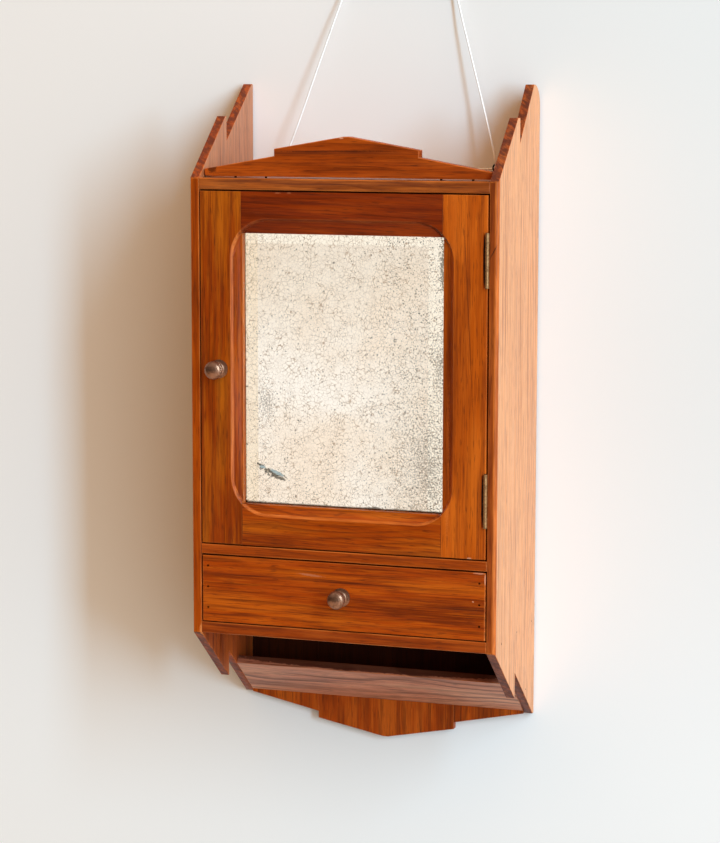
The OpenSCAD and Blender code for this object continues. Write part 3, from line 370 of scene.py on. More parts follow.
# with worn, the wood of the worn arrises, which the door's hollow faces also take as painted light and
# shade
def woodMaterial(name, changes, worn=False):
    look = {**teak, **changes}
    material, tree, shader = newMaterial(name)
    point = objectPoint(tree)
    turn = Vector(grainTurns[look["grain"]])
    turn.y += math.radians(look["lean"])
    along = placedPoint(tree, point, look["pith"], turn)

    # growth rings round the pith, pushed about by slow noise
    slow = noise(tree, stretch(tree, along, (3.5, 12, 12)), 1.0, 2).outputs["Color"]
    drift = addNode(tree, "ShaderNodeVectorMath", {0: slow, 1: (0.5,) * 3}, operation="SUBTRACT").outputs[0]
    drifted = scaleAdd(tree, drift, (look["wander"] * 3,) * 3, along, "ShaderNodeVectorMath")
    ringInputs = {"Vector": drifted, "Scale": ringPeriod / look["ring"], "Distortion": 0.0}
    rings = addNode(tree, "ShaderNodeTexWave", ringInputs, wave_type="RINGS", rings_direction="X",
                    wave_profile="SAW").outputs["Fac"]
    late = arith(tree, "MULTIPLY", ramp(tree, rings, 0.45, 0.95), ramp(tree, rings, 1.0, 0.96))
    patches = noise(tree, stretch(tree, along, (6, 50, 50)), 1.0, 2).outputs[0]
    patchy = ramp(tree, patches, 0.38, 0.62, 0.1, 1.0)
    late = arith(tree, "MULTIPLY", late, patchy)

    cloud, mottle, streak, fibre, pore = [grainLayer(tree, along, layer) for layer in grainLayers]
    light, mid, dark, porePaint = (paint(*look[key]) for key in ("light", "mid", "dark", "pore"))
    colour = mid
    depth = look["wornDepth"] if worn else 1.0
    if worn:
        colour = mixColour(tree, ramp(tree, mottle, 0.40, 0.60, 0.35, 1.0), mid, paint(*look["worn"]))
    colour = mixColour(tree, ramp(tree, cloud, 0.48, 0.66, 0.0, look["cloud"]), colour, light)
    colour = mixColour(tree, ramp(tree, cloud, 0.50, 0.32, 0.0, look["cloud"] * 0.6 * depth), colour, dark)
    colour = mixColour(tree, ramp(tree, mottle, 0.52, 0.70, 0.0, look["mottle"]), colour, light)
    colour = mixColour(tree, ramp(tree, mottle, 0.48, 0.30, 0.0, look["mottle"] * depth), colour, dark)

    # broad faces that face sideways are painted a paler wood, chosen by which way they face, and only from
    # a given height up
    normal = addNode(tree, "ShaderNodeTexCoord").outputs["Normal"]
    facing = separate(tree, normal)
    height = separate(tree, point)[2]
    for face in look["faces"]:
        turned = ramp(tree, arith(tree, "MULTIPLY", facing[0], face["side"]), 0.6, 0.9, 0.0, face["share"])
        share = arith(tree, "MULTIPLY", turned, ramp(tree, height, face["from"], face["from"] + 0.04))
        colour = mixColour(tree, share, colour, paint(*face["paint"]))

    # late wood, streaks, fibres and pores
    colour = mixColour(tree, arith(tree, "MULTIPLY", late, look["figure"] * depth), colour, dark)
    streaky = ramp(tree, streak, 0.54, 0.70, 0.0, look["streaks"] * depth)
    colour = mixColour(tree, arith(tree, "MULTIPLY", streaky, patchy), colour, dark)
    colour = mixColour(tree, ramp(tree, fibre, 0.50, 0.70, 0.0, look["fibres"]), colour, dark)
    colour = mixColour(tree, ramp(tree, fibre, 0.48, 0.30, 0.0, look["fibres"] * 0.8), colour, light)
    colour = mixColour(tree, ramp(tree, pore, 0.60, 0.70, 0.0, look["pores"] * depth), colour, porePaint)

    # faces cut across the grain are grimy
    cut = arith(tree, "ABSOLUTE", facing["XYZ".index(look["grain"])])
    barred = placedPoint(tree, point, (0, 0, 0), look["barTurn"], look["barSize"])
    grime = ramp(tree, noise(tree, barred, 1.0, 3, 0.6).outputs[0], 0.40, 0.60, 0.05, 1.0)
    cutShare = arith(tree, "MULTIPLY", ramp(tree, cut, 0.2, 0.6, 0.0, look["endGrain"]), grime)
    colour = mixColour(tree, cutShare, colour, dark)
    colour = addMarks(tree, point, colour, look["marks"])
    tree.links.new(colour, shader.inputs["Base Color"])

    rough = ramp(tree, streak, 0.3, 0.7, look["rough"] - 0.06, look["rough"] + 0.09)
    tree.links.new(rough, shader.inputs["Roughness"])
    shader.inputs["Specular IOR Level"].default_value = look["edgeGloss"] if worn else look["gloss"]
    rise = arith(tree, "ADD", arith(tree, "MULTIPLY", fibre, 0.5), ramp(tree, pore, 0.72, 0.60, 0.0, 0.6))
    addBump(tree, shader, rise, look["relief"], 0.0004)
    return material


woodMaterials = {}
for woodName, woodLook in woods.items():
    woodMaterials[woodName] = (woodMaterial(woodName, woodLook),
                               woodMaterial(woodName + "Edge", woodLook, worn=True))
print("wood materials made:", len(woodMaterials))


# Metals and mirror

metals = {
    "hingeBrass": {"colour": (176, 130, 84), "dull": (116, 80, 48), "patina": 0.8, "patinaScale": 500,
                   "metallic": 0.8, "rough": 0.45},
    "catchBrass": {"colour": (200, 170, 106), "dull": (130, 104, 60), "patina": 0.6, "patinaScale": 300,
                   "metallic": 1.0, "rough": 0.3},
    "knobBronze": {"colour": (150, 106, 82), "dull": (106, 70, 48), "patina": 0.6, "patinaScale": 260,
                   "metallic": 0.9, "rough": 0.3},
    "steel": {"colour": (190, 186, 178), "dull": (140, 134, 124), "patina": 0.5, "patinaScale": 300,
              "metallic": 1.0, "rough": 0.28},
    "ironWire": {"colour": (34, 32, 30), "dull": (20, 18, 17), "patina": 0.6, "patinaScale": 500,
                 "metallic": 0.4, "rough": 0.42},
    "nailIron": {"colour": (88, 76, 66), "dull": (34, 26, 20), "patina": 0.7, "patinaScale": 900,
                 "metallic": 0.7, "rough": 0.4},
}


def metalMaterial(name, settings):
    material, tree, shader = newMaterial(name)
    point = objectPoint(tree)
    patina = noise(tree, point, settings["patinaScale"], 4, 0.6).outputs[0]
    share = ramp(tree, patina, 0.42, 0.68, 0.0, settings["patina"])
    colour = mixColour(tree, share, paint(*settings["colour"]), paint(*settings["dull"]))
    tree.links.new(colour, shader.inputs["Base Color"])
    shader.inputs["Metallic"].default_value = settings["metallic"]
    rough = settings["rough"]
    tree.links.new(ramp(tree, patina, 0.35, 0.7, rough, rough + 0.2), shader.inputs["Roughness"])
    fine = noise(tree, point, settings["patinaScale"] * 6, 2).outputs[0]
    addBump(tree, shader, fine, 0.15, 0.0002)
    return material


metalMaterials = {metalName: metalMaterial(metalName, look) for metalName, look in metals.items()}

mirrorSettings = {
    "sight": (*railEnds, -0.1007, 0.1852),  # the edges of the opening in the door
    "glassGap": 0.00005,
    "rough": 0.12,
    "silver": (254, 248, 240),
    "shade": (248, 233, 216),
    "dim": (231, 217, 198),
    "crack": (166, 138, 110),
    "speck": (44, 34, 26),
    # painted shadow at the foot of the glass
    "damp": (112, 104, 88),
    # where the bevel's border, a painted reflection in the silver, ends: it looks wider at the right,
    # through the glass
    "borderLeft": 0.0135,
    "borderRight": 0.0190,
    "borderTop": 0.0107,
    "borderBlur": 0.0006,
    "borderWhite": (255, 248, 234),
    "borderWarm": (242, 224, 196),
    "curlWidth": 0.006,
    "curlSlope": 0.18,
    # crackle: scale and reach of the noise that shakes it, then the cells' scale, the width of a crack, the
    # scale and roughness of the patches where it shows, and how they make it show
    "shake": ((45, 0.012), (420, 0.0026)),
    "crackle": ((225.0, 0.05, 60, 0.5, (0.36, 0.62, 0.25, 0.95)),
                (430.0, 0.06, 90, 0.6, (0.44, 0.62, 0.0, 0.45))),
    # specks: scale of the cells, size in the cell, share of the crowd
    "specks": ((330.0, 0.26, 0.7), (560.0, 0.36, 1.0)),
    # stains seen through the glass
    "marks": (
        {"at": (-0.0945, 0, -0.0610), "size": (0.0050, 0.02, 0.0030), "lean": 30, "paint": (88, 78, 62),
         "ragged": 3.0, "grain": 420},
        {"at": (-0.0790, 0, -0.0690), "size": (0.0150, 0.02, 0.0042), "lean": 22, "paint": (104, 94, 78),
         "ragged": 2.6, "grain": 330},
        {"at": (-0.0930, 0, -0.0618), "size": (0.0042, 0.02, 0.0018), "lean": 10, "paint": (160, 176, 178),
         "ragged": 1.0, "grain": 500},
        {"at": (-0.0770, 0, -0.0672), "size": (0.0100, 0.02, 0.0022), "lean": 22, "paint": (160, 176, 178),
         "ragged": 1.0, "grain": 500},
        {"at": (0.0320, 0, -0.1006), "size": (0.0120, 0.02, 0.0030), "paint": (70, 62, 50), "ragged": 2.4},
        {"at": (0.1050, 0, 0.1560), "size": (0.0030, 0.02, 0.0250), "paint": (104, 94, 78), "ragged": 7.0,
         "grain": 500, "strength": 0.8},
        {"at": (0.1020, 0, 0.0500), "size": (0.0050, 0.02, 0.0250), "paint": (96, 82, 64), "ragged": 9.0,
         "grain": 560, "strength": 0.5, "core": 0.2},
        {"at": (0.0900, 0, -0.0550), "size": (0.0180, 0.02, 0.0400), "paint": (84, 66, 48), "ragged": 12.0,
         "grain": 520, "strength": 0.4, "core": 0.2},
        {"at": (-0.0880, 0, 0.0060), "size": (0.0060, 0.02, 0.0120), "paint": (92, 74, 54), "ragged": 11.0,
         "grain": 560, "strength": 0.5, "core": 0.2},
    ),
}


def silverMaterial(settings):
    # old silvering: all of it is a mirror, paler or darker where it has aged
    material, tree, shader = newMaterial("agedSilver")
    point = objectPoint(tree)
    flat = stretch(tree, point, (1, 0, 1))
    axes = separate(tree, point)
    across, up = axes[0], axes[2]
    left, right, low, high = settings["sight"]
    cloud = noise(tree, flat, 9, 3, 0.5).outputs[0]
    silverPaint, shadePaint = paint(*settings["silver"]), paint(*settings["shade"])
    colour = mixColour(tree, ramp(tree, cloud, 0.40, 0.66), silverPaint, shadePaint)
    # painted shade in the reflection: the silver is darker towards the right and the top
    reflectionShadeShare = arith(tree, "MAXIMUM", ramp(tree, across, -0.02, 0.10, 0.0, 0.55),
                   ramp(tree, up, 0.0, 0.17, 0.0, 0.65))
    colour = mixColour(tree, reflectionShadeShare, colour, paint(*settings["dim"]))

    # painted reflection: the bevel of the glass is painted into the silver as a border, warm at the left,
    # where it mirrors the wood, and white at the right and the top
    blur = settings["borderBlur"]
    near = arith(tree, "MINIMUM", arith(tree, "SUBTRACT", right - settings["borderRight"], across),
                 arith(tree, "SUBTRACT", high - settings["borderTop"], up))
    whiteReflectionShare = ramp(tree, near, blur, -blur, 0.0, 0.7)
    colour = mixColour(tree, whiteReflectionShare, colour, paint(*settings["borderWhite"]))
    near = arith(tree, "SUBTRACT", across, left + settings["borderLeft"])
    warmReflectionShare = ramp(tree, near, blur, -blur, 0.0, 0.6)
    colour = mixColour(tree, warmReflectionShare, colour, paint(*settings["borderWarm"]))

    # crackle: cell edges on a point shaken by two sizes of noise
    shaken = flat
    for scale, reach in settings["shake"]:
        push = noise(tree, flat, scale, 2).outputs["Color"]
        shaken = scaleAdd(tree, push, (reach,) * 3, shaken, "ShaderNodeVectorMath")
    cracks = []
    for scale, width, patchScale, patchRough, shows in settings["crackle"]:
        cells = addNode(tree, "ShaderNodeTexVoronoi", {"Vector": shaken, "Scale": scale},
                        feature="DISTANCE_TO_EDGE")
        seen = ramp(tree, noise(tree, flat, patchScale, 3, patchRough).outputs[0], *shows)
        cracks.append(arith(tree, "MULTIPLY", ramp(tree, cells.outputs[0], width, 0.015), seen))
    colour = mixColour(tree, arith(tree, "MAXIMUM", *cracks), colour, paint(*settings["crack"]))

    # specks: small cells taken at random, more of them to the right and near the foot
    crowd = scaleAdd(tree, ramp(tree, across, 0.0, 0.105), 0.36, ramp(tree, up, 0.06, -0.09, 0.02, 0.10))
    groups = ramp(tree, noise(tree, flat, 38, 3, 0.6).outputs[0], 0.46, 0.72)
    crowd = scaleAdd(tree, groups, 0.30, crowd)
    for scale, size, share in settings["specks"]:
        cells = addNode(tree, "ShaderNodeTexVoronoi", {"Vector": shaken, "Scale": scale}, feature="F1")
        chance = addNode(tree, "ShaderNodeSeparateColor", {0: cells.outputs["Color"]}).outputs[0]
        luck = arith(tree, "SUBTRACT", arith(tree, "MULTIPLY", crowd, share), chance)
        dot = arith(tree, "MULTIPLY", ramp(tree, cells.outputs["Distance"], size, size * 0.75),
                    ramp(tree, luck, 0.0, 0.02))
        colour = mixColour(tree, arith(tree, "MULTIPLY", dot, 0.95), colour, paint(*settings["speck"]))
    colour = addMarks(tree, flat, colour, settings["marks"])

    # painted shadow along the foot of the glass, at its lower edge
    wavy = arith(tree, "MULTIPLY", noise(tree, flat, 60, 3).outputs[0], 0.004)
    edge = ramp(tree, arith(tree, "SUBTRACT", up, wavy), low + 0.0005, low - 0.001, 0.0, 0.8)
    colour = mixColour(tree, edge, colour, paint(*settings["damp"]))
    tree.links.new(colour, shader.inputs["Base Color"])

    # the foil curls forward a little at the sides, and so doesn't mirror the door
    inset = arith(tree, "MINIMUM", arith(tree, "SUBTRACT", across, left),
                  arith(tree, "SUBTRACT", right, across))
    inset = arith(tree, "MINIMUM", inset, settings["curlWidth"])
    addBump(tree, shader, arith(tree, "MULTIPLY", inset, -settings["curlSlope"]), 1.0, 1.0)
    shader.inputs["Metallic"].default_value = 1.0
    shader.inputs["Roughness"].default_value = settings["rough"]
    return material


def glassMaterial():
    material, tree, shader = newMaterial("bevelledGlass")
    shader.inputs["Base Color"].default_value = (0.985, 0.99, 0.985, 1)
    shader.inputs["Transmission Weight"].default_value = 1.0
    shader.inputs["Roughness"].default_value = 0.0
    shader.inputs["IOR"].default_value = 1.5
    return material


silver = silverMaterial(mirrorSettings)
glass = glassMaterial()
print("metal and mirror materials made")


# The hanging string: three strands laid up in a loop, tied behind the crest

stringSettings = {
    "diameter": 0.002,
    "lobes": 3,
    "lobePoints": 6,
    "lay": 0.0075,  # length of one turn of the strands
    "step": 0.0015,
    "knotScale": 0.00056,
    "knotPoints": 72,
    "cotton": (252, 251, 248),
    "soiled": (232, 227, 216),
    "route": (
        (-0.1116, -0.014, 0.251), (-0.1136, -0.0164, 0.252), (-0.1147, -0.0188, 0.2536),
        (-0.1148, -0.0206, 0.256), (-0.114, -0.0212, 0.259), (-0.1124, -0.021, 0.2625),
        (-0.1094, -0.0198, 0.268), (-0.0962, -0.015, 0.306), (-0.0789, -0.011, 0.356),
        (-0.0622, -0.007, 0.404), (-0.0525, -0.004, 0.432), (-0.0506, -0.004, 0.4365),
        (-0.0473, -0.004, 0.4403), (-0.043, -0.004, 0.442), (-0.01, -0.004, 0.442), (0.03, -0.004, 0.442),
        (0.064, -0.004, 0.442), (0.0685, -0.004, 0.441), (0.072, -0.004, 0.4385), (0.075, -0.004, 0.4345),
        (0.0767, -0.004, 0.43), (0.084, -0.007, 0.404), (0.0977, -0.011, 0.356), (0.1119, -0.015, 0.306),
        (0.1225, -0.0198, 0.268), (0.1239, -0.021, 0.2625), (0.1246, -0.0212, 0.2592),
        (0.1248, -0.0206, 0.256), (0.1247, -0.0188, 0.2536), (0.1236, -0.0164, 0.252),
        (0.1216, -0.014, 0.251), (0.1185, -0.0122, 0.2504), (0.114, -0.0112, 0.25), (0.108, -0.011, 0.2498),
        (0.06, -0.011, 0.2496), (0, -0.011, 0.2494), (-0.06, -0.011, 0.2496), (-0.098, -0.011, 0.2498),
        (-0.104, -0.0112, 0.25), (-0.1075, -0.0119, 0.2503),
    ),
}


def stringMaterial(settings):
    material, tree, shader = newMaterial("cottonString")
    soil = ramp(tree, noise(tree, objectPoint(tree), 90, 3).outputs[0], 0.5, 0.75, 0.0, 0.5)
    colour = mixColour(tree, soil, paint(*settings["cotton"]), paint(*settings["soiled"]))
    tree.links.new(colour, shader.inputs["Base Color"])
    shader.inputs["Roughness"].default_value = 0.85
    shader.inputs["Specular IOR Level"].default_value = 0.2
    return material


def newCurve(name, points, cyclic=False):
    data = bpy.data.curves.new(name, "CURVE")
    data.dimensions = "3D"
    spline = data.splines.new("POLY")
    spline.points.add(len(points) - 1)
    for place, point in zip(spline.points, points):
        place.co = (*point, 1)
    spline.use_cyclic_u = cyclic
    curve = bpy.data.objects.new(name, data)
    scene.collection.objects.link(curve)
    return curve


def smoothLine(route, step):
    # a Bezier curve through the route, as points a step apart, that never rises above its highest knot
    knots = [Vector(place) for place in route]
    last = len(knots) - 1
    spans = [(after - before).length for before, after in zip(knots, knots[1:])]
    handles = []
    for k in range(last + 1):
        heading = (knots[min(k + 1, last)] - knots[max(k - 1, 0)]).normalized()
        handles.append(heading * min(spans[max(k - 1, 0)], spans[min(k, last - 1)]) / 3)
    line = [knots[0]]
    for k in range(last):
        count = max(2, round(spans[k] / step)) + 1
        first, second = knots[k], knots[k + 1]
        line += interpolate_bezier(first, first + handles[k], second - handles[k + 1], second, count)[1:]
    highest = max(knot.z for knot in knots)
    return [Vector((place.x, place.y, min(place.z, highest))) for place in line]


def curveToPiece(curve, name):
    # the curve as a mesh in the string's cotton
    bpy.context.view_layer.update()
    shape = curve.evaluated_get(bpy.context.evaluated_depsgraph_get())
    mesh = bpy.data.meshes.new_from_object(shape)
    mesh.shade_smooth()
    mesh.materials.clear()
    mesh.materials.append(cottonString)
    piece = bpy.data.objects.new(name, mesh)
    scene.collection.objects.link(piece)
    return piece


def makeString(settings):
    line = smoothLine(settings["route"], settings["step"])
    radius = settings["diameter"] / 2
    lobes = settings["lobes"]
    count = lobes * settings["lobePoints"]
    ring = []
    for k in range(count):
        angle = 2 * math.pi * k / count
        reach = radius * (0.90 + 0.10 * abs(math.cos(angle * lobes / 2)))
        ring.append((reach * math.cos(angle), reach * math.sin(angle), 0))
    section = newCurve("stringSection", ring, cyclic=True)
    curve = newCurve("stringCurve", line)
    curve.data.bevel_mode = "OBJECT"
    curve.data.bevel_object = section
    curve.data.use_fill_caps = True
    travelled = 0.0
    for place, before, here in zip(curve.data.splines[0].points, [line[0]] + line, line):
        travelled += (here - before).length
        place.tilt = 2 * math.pi * travelled / settings["lay"]
    piece = curveToPiece(curve, "hangingString")
    for leftover in (curve, section):
        bpy.data.objects.remove(leftover)
    return piece, line, travelled


def makeKnot(line, settings):
    # a plain overhand knot pulled tight: a trefoil of string between the loop's two ends
    centre = (line[0] + line[-1]) / 2
    turn = (line[0] - line[-1]).to_track_quat("Z", "Y").to_matrix()
    points = []
    count = settings["knotPoints"]
    for k in range(count):
        t = 2 * math.pi * k / count
        loop = Vector((math.sin(t) + 2 * math.sin(2 * t), math.cos(t) - 2 * math.cos(2 * t),
                       -1.6 * math.sin(3 * t)))
        points.append(centre + turn @ (loop * settings["knotScale"]))
    curve = newCurve("knotCurve", points, cyclic=True)
    curve.data.bevel_depth = settings["diameter"] / 2 * 0.95
    curve.data.bevel_resolution = 3
    piece = curveToPiece(curve, "stringKnot")
    bpy.data.objects.remove(curve)
    return piece


cottonString = stringMaterial(stringSettings)
hangingString, stringLine, stringLength = makeString(stringSettings)
stringKnot = makeKnot(stringLine, stringSettings)
for piece, node in ((hangingString, "hanging_cord"), (stringKnot, "cord_knot")):
    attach(piece, "case")
    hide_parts(node)
print("string made:", round(stringLength, 3), "m")


# Boards: each is its solid with the arrises rounded, in a finish of its own

boardSettings = {
    # node: wood, width of the rounding on its arrises, wood of its broad faces where it differs
    "side_panel_left": ("sideLeft", 0.0010, "sideLeftBroad"),
    "side_panel_right": ("sideRight", 0.0040, "sideRightBroad"),
    "top_board": ("topBoard", 0.0009),
    "middle_board": ("middleBoard", 0.0009),
    "drawer_board": ("drawerBoard", 0.0009),
    "back_board_left": ("backBoards", 0.0003),
    "back_board_centre": ("backBoards", 0.0003),
    "back_board_right": ("backBoards", 0.0003),
    "trough_front": ("trough", 0.0008),
    "crest_board": ("crest", 0.0010),
    "door_stile_left": ("stileLeft", 0.0005),
    "door_stile_right": ("stileRight", 0.0005),
    "door_rail_top": ("railTop", 0.0005),
    "door_rail_bottom": ("railBottom", 0.0005),
    "drawer_front": ("drawerFront", 0.0011),
    "drawer_side_left": ("drawerBox", 0.0005),
    "drawer_side_right": ("drawerBox", 0.0005),
    "drawer_back": ("drawerBox", 0.0005),
    "drawer_bottom": ("drawerBox", 0.0003),
    "inner_shelf": ("inner", 0.0006),
    "shelf_batten_left": ("inner", 0.0005),
    "shelf_batten_right": ("inner", 0.0005),
    "door_stop": ("inner", 0.0005),
    "mirror_backing": ("backing", 0.0003),
    "mirror_bead_top": ("bead", 0.0004),
    "mirror_bead_bottom": ("bead", 0.0004),
    "mirror_bead_left": ("bead", 0.0004),
    "mirror_bead_right": ("bead", 0.0004),
}
arrisSettings = {
    "mergeGap": 5e-5,
    "flatDegrees": 0.5,
    "arrisDegrees": 30,
    "sharpDegrees": 25,
    # shares of the board's rounding
    "front": 1.0,
    "elsewhere": 0.5,
    "joint": 0.2,
    "hollowJoint": 0.45,
    "besideWorn": 0.25,
    "wornRounding": 0.002,  # a side board rounded more than this has it on its outer front arris only
}

bodies = frame["record"]["behaviour"]["bodies"]
bodyOf = {node: body for body, members in bodies.items() for node in members}


def mergedCopy(node, name):
    bm = bmesh.new()
    bm.from_mesh(frame["nodes"][node].data)
    bmesh.ops.remove_doubles(bm, verts=bm.verts, dist=arrisSettings["mergeGap"])
    bmesh.ops.dissolve_limit(bm, angle_limit=math.radians(arrisSettings["flatDegrees"]), verts=bm.verts,
                             edges=bm.edges)
    mesh = bpy.data.meshes.new(name)
    bm.to_mesh(mesh)
    bm.free()
    piece = bpy.data.objects.new(name, mesh)
    scene.collection.objects.link(piece)
    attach(piece, bodyOf[node])
    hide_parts(node)
    return piece


def weighArrises(bm, door, outer):
    # how far each arris is rounded: most at the front, least where a rail meets a stile
    weights = bm.edges.layers.float.new("bevel_weight_edge")
    leastAngle = math.radians(arrisSettings["arrisDegrees"])
    for edge in bm.edges:
        if len(edge.link_faces) != 2 or edge.calc_face_angle(0) < leastAngle:
            continue
        depths = [face.normal.y for face in edge.link_faces]
        front = min(depths) < -0.98
        weight = arrisSettings["front" if front else "elsewhere"]
        onJoint = all(min(abs(vert.co.x - x) for x in railEnds) < 2e-4 for vert in edge.verts)
        if door and onJoint:
            slanted = any(0.05 < abs(depth) < 0.97 for depth in depths)
            weight = arrisSettings["hollowJoint" if slanted else "joint"]
        if outer and not (front and all(abs(vert.co.x - outer) < 1e-4 for vert in edge.verts)):
            weight *= arrisSettings["besideWorn"]
        edge[weights] = weight


def chooseFaces(bm, door, broad):
    # the slots of the faces: 0 is the board's wood, 1 its worn arrises and, on the door, the faces painted
    # by the light they get, 2 the wood of its broad faces
    for face in bm.faces:
        normal = face.normal
        if door:
            # painted light and shade: the hollow's chamfer and the left side of the opening take the
            # board's arris wood, paler where the light falls on them and darker on the top rail; the
            # chamfer at the right, which faces away from the light, keeps the darker wood
            chamfer = 0.55 < abs(normal.y) < 0.85 and normal.x > -0.5
            jamb = normal.x > 0.9 and face.calc_center_median().x < 0
            face.material_index = 1 if chamfer or jamb else 0
        elif broad:
            face.material_index = 2 if abs(normal.x) > 0.9 else 0


def makeBoard(node, wood, rounding, broad=None):
    first, *others = node.split("_")
    piece = mergedCopy(node, first + "".join(word.capitalize() for word in others) + "Wood")
    door = node.startswith("door_")
    bm = bmesh.new()
    bm.from_mesh(piece.data)
    worn = broad and rounding > arrisSettings["wornRounding"]
    weighArrises(bm, door, max(vert.co.x for vert in bm.verts) if worn else 0)
    chooseFaces(bm, door, broad)
    bm.to_mesh(piece.data)
    bm.free()
    for material in woodMaterials[wood] + woodMaterials.get(broad, ())[:1]:
        piece.data.materials.append(material)
    piece.data.shade_smooth()
    piece.data.set_sharp_from_angle(angle=math.radians(arrisSettings["sharpDegrees"]))
    bevel = piece.modifiers.new("arrises", "BEVEL")
    bevel.width = rounding
    bevel.segments = 2
    bevel.limit_method = "WEIGHT"
    bevel.use_clamp_overlap = False
    bevel.harden_normals = True
    bevel.material = 1


for node, settings in boardSettings.items():
    makeBoard(node, *settings)
print("boards made:", len(boardSettings))


# Silvering: a hair behind the glass, so that the two faces don't coincide

def makeSilvering(settings):
    piece = mergedCopy("mirror_silvering", "mirrorSilvering")
    bm = bmesh.new()
    bm.from_mesh(piece.data)
    front = min(vert.co.y for vert in bm.verts)
    faceVerts = [vert for vert in bm.verts if vert.co.y < front + 1e-5]
    bmesh.ops.translate(bm, verts=faceVerts, vec=(0, settings["glassGap"], 0))
    bm.to_mesh(piece.data)
    bm.free()
    piece.data.materials.append(silver)


makeSilvering(mirrorSettings)
print("silvering made")


# The solids that show as they are get their finish in their own slots

finishes = {
    "mirror_glass": glass,
    "crest_pegs": woodMaterials["peg"][0],
    "screw_eye_left": metalMaterials["ironWire"],
    "screw_eye_right": metalMaterials["ironWire"],
    "door_knob": metalMaterials["knobBronze"],
    "drawer_knob": metalMaterials["knobBronze"],
    "door_knob_screw": metalMaterials["steel"],
    "drawer_knob_screw": metalMaterials["steel"],
    "catch_barrel": metalMaterials["catchBrass"],
    "catch_plate": metalMaterials["catchBrass"],
    "catch_ball": metalMaterials["steel"],
}
shownSolids = {node: solid for node, solid in frame["nodes"].items() if not solid.hide_render}
for node, solid in shownSolids.items():
    isNail = "nails" in node or "pins" in node
    material = finishes.get(node, metalMaterials["nailIron" if isNail else "hingeBrass"])
    solid.data.materials.clear()
    solid.data.materials.append(material)
print("solids finished:", len(shownSolids))


# Wall, floor and light

stageSettings = {
    "wallColour": (246, 242, 238),
    "wallRight": (235, 235, 233),
    "wallFoot": (250, 250, 249),
    "floorColour": (236, 234, 230),
    # where the wall's colour changes from left to right, and downwards: painted shade at the right, where
    # the light is strongest, and painted light towards the foot
    "fadeAcross": (-0.2, 0.2),
    "fadeDown": (0.1, -0.5),
    "wallGap": 0.002,
    "wallReach": 4.0,
    "floorLevel": -1.5,
    # a window in the wall behind the back boards, where no camera in front sees it
    "window": ((-0.15, 0.236), (0.15, 0.236), (0.15, -0.33), (0.07, -0.345), (0.0, -0.37), (-0.07, -0.345),
               (-0.15, -0.33)),
    # the soft light's red, green and blue, each from the right, from the left and from above
    "ambient": ((1.98, 0.12, 1.30), (1.84, 0.14, 0.68), (1.66, 0.13, 0.22)),
    "background": (1.0, 0.975, 0.945, 1),
    "glassGain": 0.13,  # makes up for what the mirror's glass takes away
    # what varnish and metal mirror: a room that is bright at the right, above and below
    "room": (1.0, 0.97, 0.94, 1),
    "roomRight": (0.1, 0.8, 0.06, 0.9),
    "roomAbove": (0.15, 0.8, 0.0, 0.8),
    "roomBelow": (-0.3, -0.8, 0.0, 0.6),
}
lampSettings = {
    # a tall window far to the right, and a soft lamp behind the wall
    "window": {"place": (4.46, -3.47, 2.01), "size": (0.7, 5.1), "power": 362.0,
               "colour": (0.456, 0.759, 1.0)},
    "behind": {"place": (-1.6, 1.8, 0.9), "size": (1.5, 1.5), "power": 26.0, "colour": (1, 1, 1)},
}


def stageMaterial(name, colour, side, foot, solid):
    # seen from behind it isn't there, so that the back of the cabinet can be looked at; what isn't solid
    # lets soft light through
    material, tree, shader = newMaterial(name)
    axes = separate(tree, objectPoint(tree))
    # on the wall, painted shade towards the right and painted light towards the foot
    pale = mixColour(tree, ramp(tree, axes[0], *stageSettings["fadeAcross"]), paint(*colour), paint(*side))
    pale = mixColour(tree, ramp(tree, axes[2], *stageSettings["fadeDown"]), pale, paint(*foot))
    tree.links.new(pale, shader.inputs["Base Color"])
    shader.inputs["Roughness"].default_value = 0.9
    shader.inputs["Specular IOR Level"].default_value = 0.0
    clear = addNode(tree, "ShaderNodeBsdfTransparent")
    gone = addNode(tree, "ShaderNodeNewGeometry").outputs["Backfacing"]
    if not solid:
        path = addNode(tree, "ShaderNodeLightPath")
        gone = arith(tree, "MAXIMUM", gone, path.outputs["Is Diffuse Ray"])
    mixed = addNode(tree, "ShaderNodeMixShader", {0: gone, 1: shader.outputs[0], 2: clear.outputs[0]})
    output = next(node for node in tree.nodes if node.type == "OUTPUT_MATERIAL")
    tree.links.new(mixed.outputs[0], output.inputs["Surface"])
    return material


def stageObject(bm, name, colour, side, foot, solid=True):
    mesh = bpy.data.meshes.new(name)
    bm.to_mesh(mesh)
    bm.free()
    mesh.materials.append(stageMaterial(name + "Paint", colour, side, foot, solid))
    piece = bpy.data.objects.new(name, mesh)
    scene.collection.objects.link(piece)


def makeWall(settings):
    bm = bmesh.new()
    reach, back = settings["wallReach"], settings["wallGap"]
    corners = ((-reach, reach), (reach, reach), (reach, -reach), (-reach, -reach))
    edges = []
    for outline in (corners, settings["window"]):
        loop = [bm.verts.new((x, back, z)) for x, z in outline]
        edges += [bm.edges.new((loop[k - 1], loop[k])) for k in range(len(loop))]
    bmesh.ops.triangle_fill(bm, use_beauty=True, edges=edges, normal=(0, -1, 0))
    for face in bm.faces:
        if face.normal.y > 0:
            face.normal_flip()
    stageObject(bm, "wall", settings["wallColour"], settings["wallRight"], settings["wallFoot"])


def makeFloor(settings):
    bm = bmesh.new()
    bmesh.ops.create_grid(bm, x_segments=1, y_segments=1, size=settings["wallReach"])
    bmesh.ops.translate(bm, verts=bm.verts, vec=(0, 0, settings["floorLevel"]))
    stageObject(bm, "floor", *(settings["floorColour"],) * 3, solid=False)


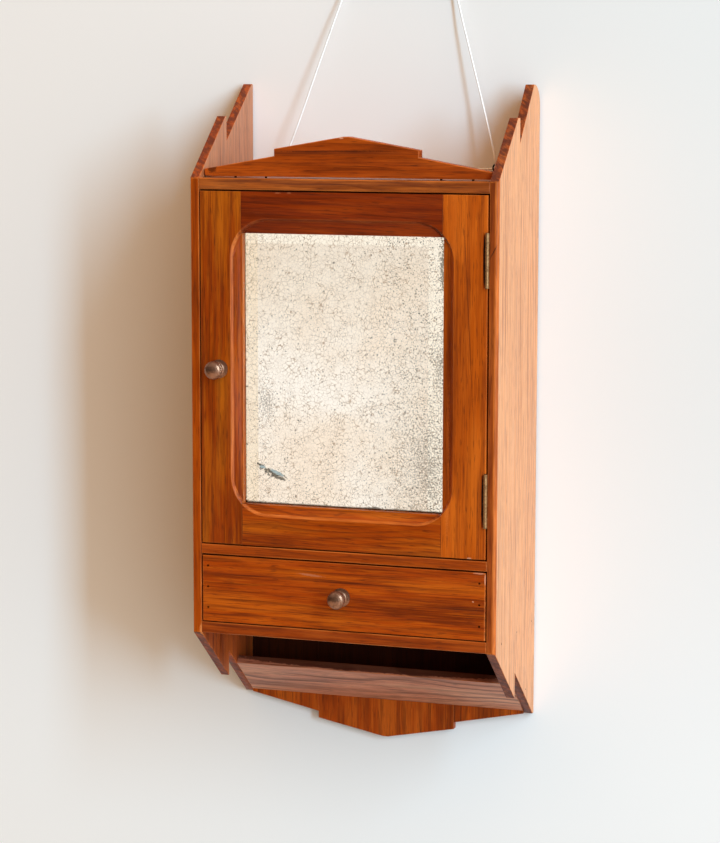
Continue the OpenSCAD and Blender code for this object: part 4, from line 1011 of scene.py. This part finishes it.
def makeLamp(name, settings):
    data = bpy.data.lights.new(name, "AREA")
    data.shape = "RECTANGLE"
    data.size, data.size_y = settings["size"]
    data.energy = settings["power"]
    data.color = settings["colour"]
    lamp = bpy.data.objects.new(name, data)
    lamp.location = settings["place"]
    lamp.rotation_euler = Vector(settings["place"]).to_track_quat("Z", "Y").to_euler()
    scene.collection.objects.link(lamp)


def makeWorld(settings):
    # soft light from all round, and a room with a dark front for varnish and metal to mirror
    world = bpy.data.worlds.new("studio")
    world.use_nodes = True
    tree = world.node_tree
    tree.nodes.clear()
    axes = separate(tree, addNode(tree, "ShaderNodeTexCoord").outputs["Generated"])
    right, above = axes[0], axes[2]
    left = arith(tree, "MULTIPLY", right, -1.0)
    sides = [arith(tree, "MAXIMUM", side, 0.0) for side in (right, left, above)]
    levels = {}
    for channel, amounts in enumerate(settings["ambient"]):
        parts = [arith(tree, "MULTIPLY", side, amount) for side, amount in zip(sides, amounts)]
        levels[channel] = arith(tree, "ADD", arith(tree, "ADD", parts[0], parts[1]), parts[2])
    lightColour = addNode(tree, "ShaderNodeCombineColor", levels).outputs[0]
    lit = addNode(tree, "ShaderNodeBackground", {"Color": lightColour})

    shine = arith(tree, "MAXIMUM", ramp(tree, right, *settings["roomRight"]),
                  ramp(tree, above, *settings["roomAbove"]))
    shine = arith(tree, "MAXIMUM", shine, ramp(tree, above, *settings["roomBelow"]))
    room = addNode(tree, "ShaderNodeBackground", {"Color": settings["room"], "Strength": shine})

    rays = addNode(tree, "ShaderNodeLightPath").outputs
    gain = scaleAdd(tree, rays["Is Transmission Ray"], settings["glassGain"], 1.0)
    pale = addNode(tree, "ShaderNodeBackground", {"Color": settings["background"], "Strength": gain})
    shown = arith(tree, "MAXIMUM", rays["Is Camera Ray"], rays["Is Transmission Ray"])
    mixed = addNode(tree, "ShaderNodeMixShader", {0: rays["Is Glossy Ray"], 1: lit.outputs[0],
                                                  2: room.outputs[0]})
    mixed = addNode(tree, "ShaderNodeMixShader", {0: shown, 1: mixed.outputs[0], 2: pale.outputs[0]})
    output = addNode(tree, "ShaderNodeOutputWorld")
    tree.links.new(mixed.outputs[0], output.inputs["Surface"])
    scene.world = world


makeWall(stageSettings)
makeFloor(stageSettings)
makeWorld(stageSettings)
for lampName, lampLook in lampSettings.items():
    makeLamp(lampName, lampLook)
scene.view_settings.view_transform = "Standard"
print("stage and light made")
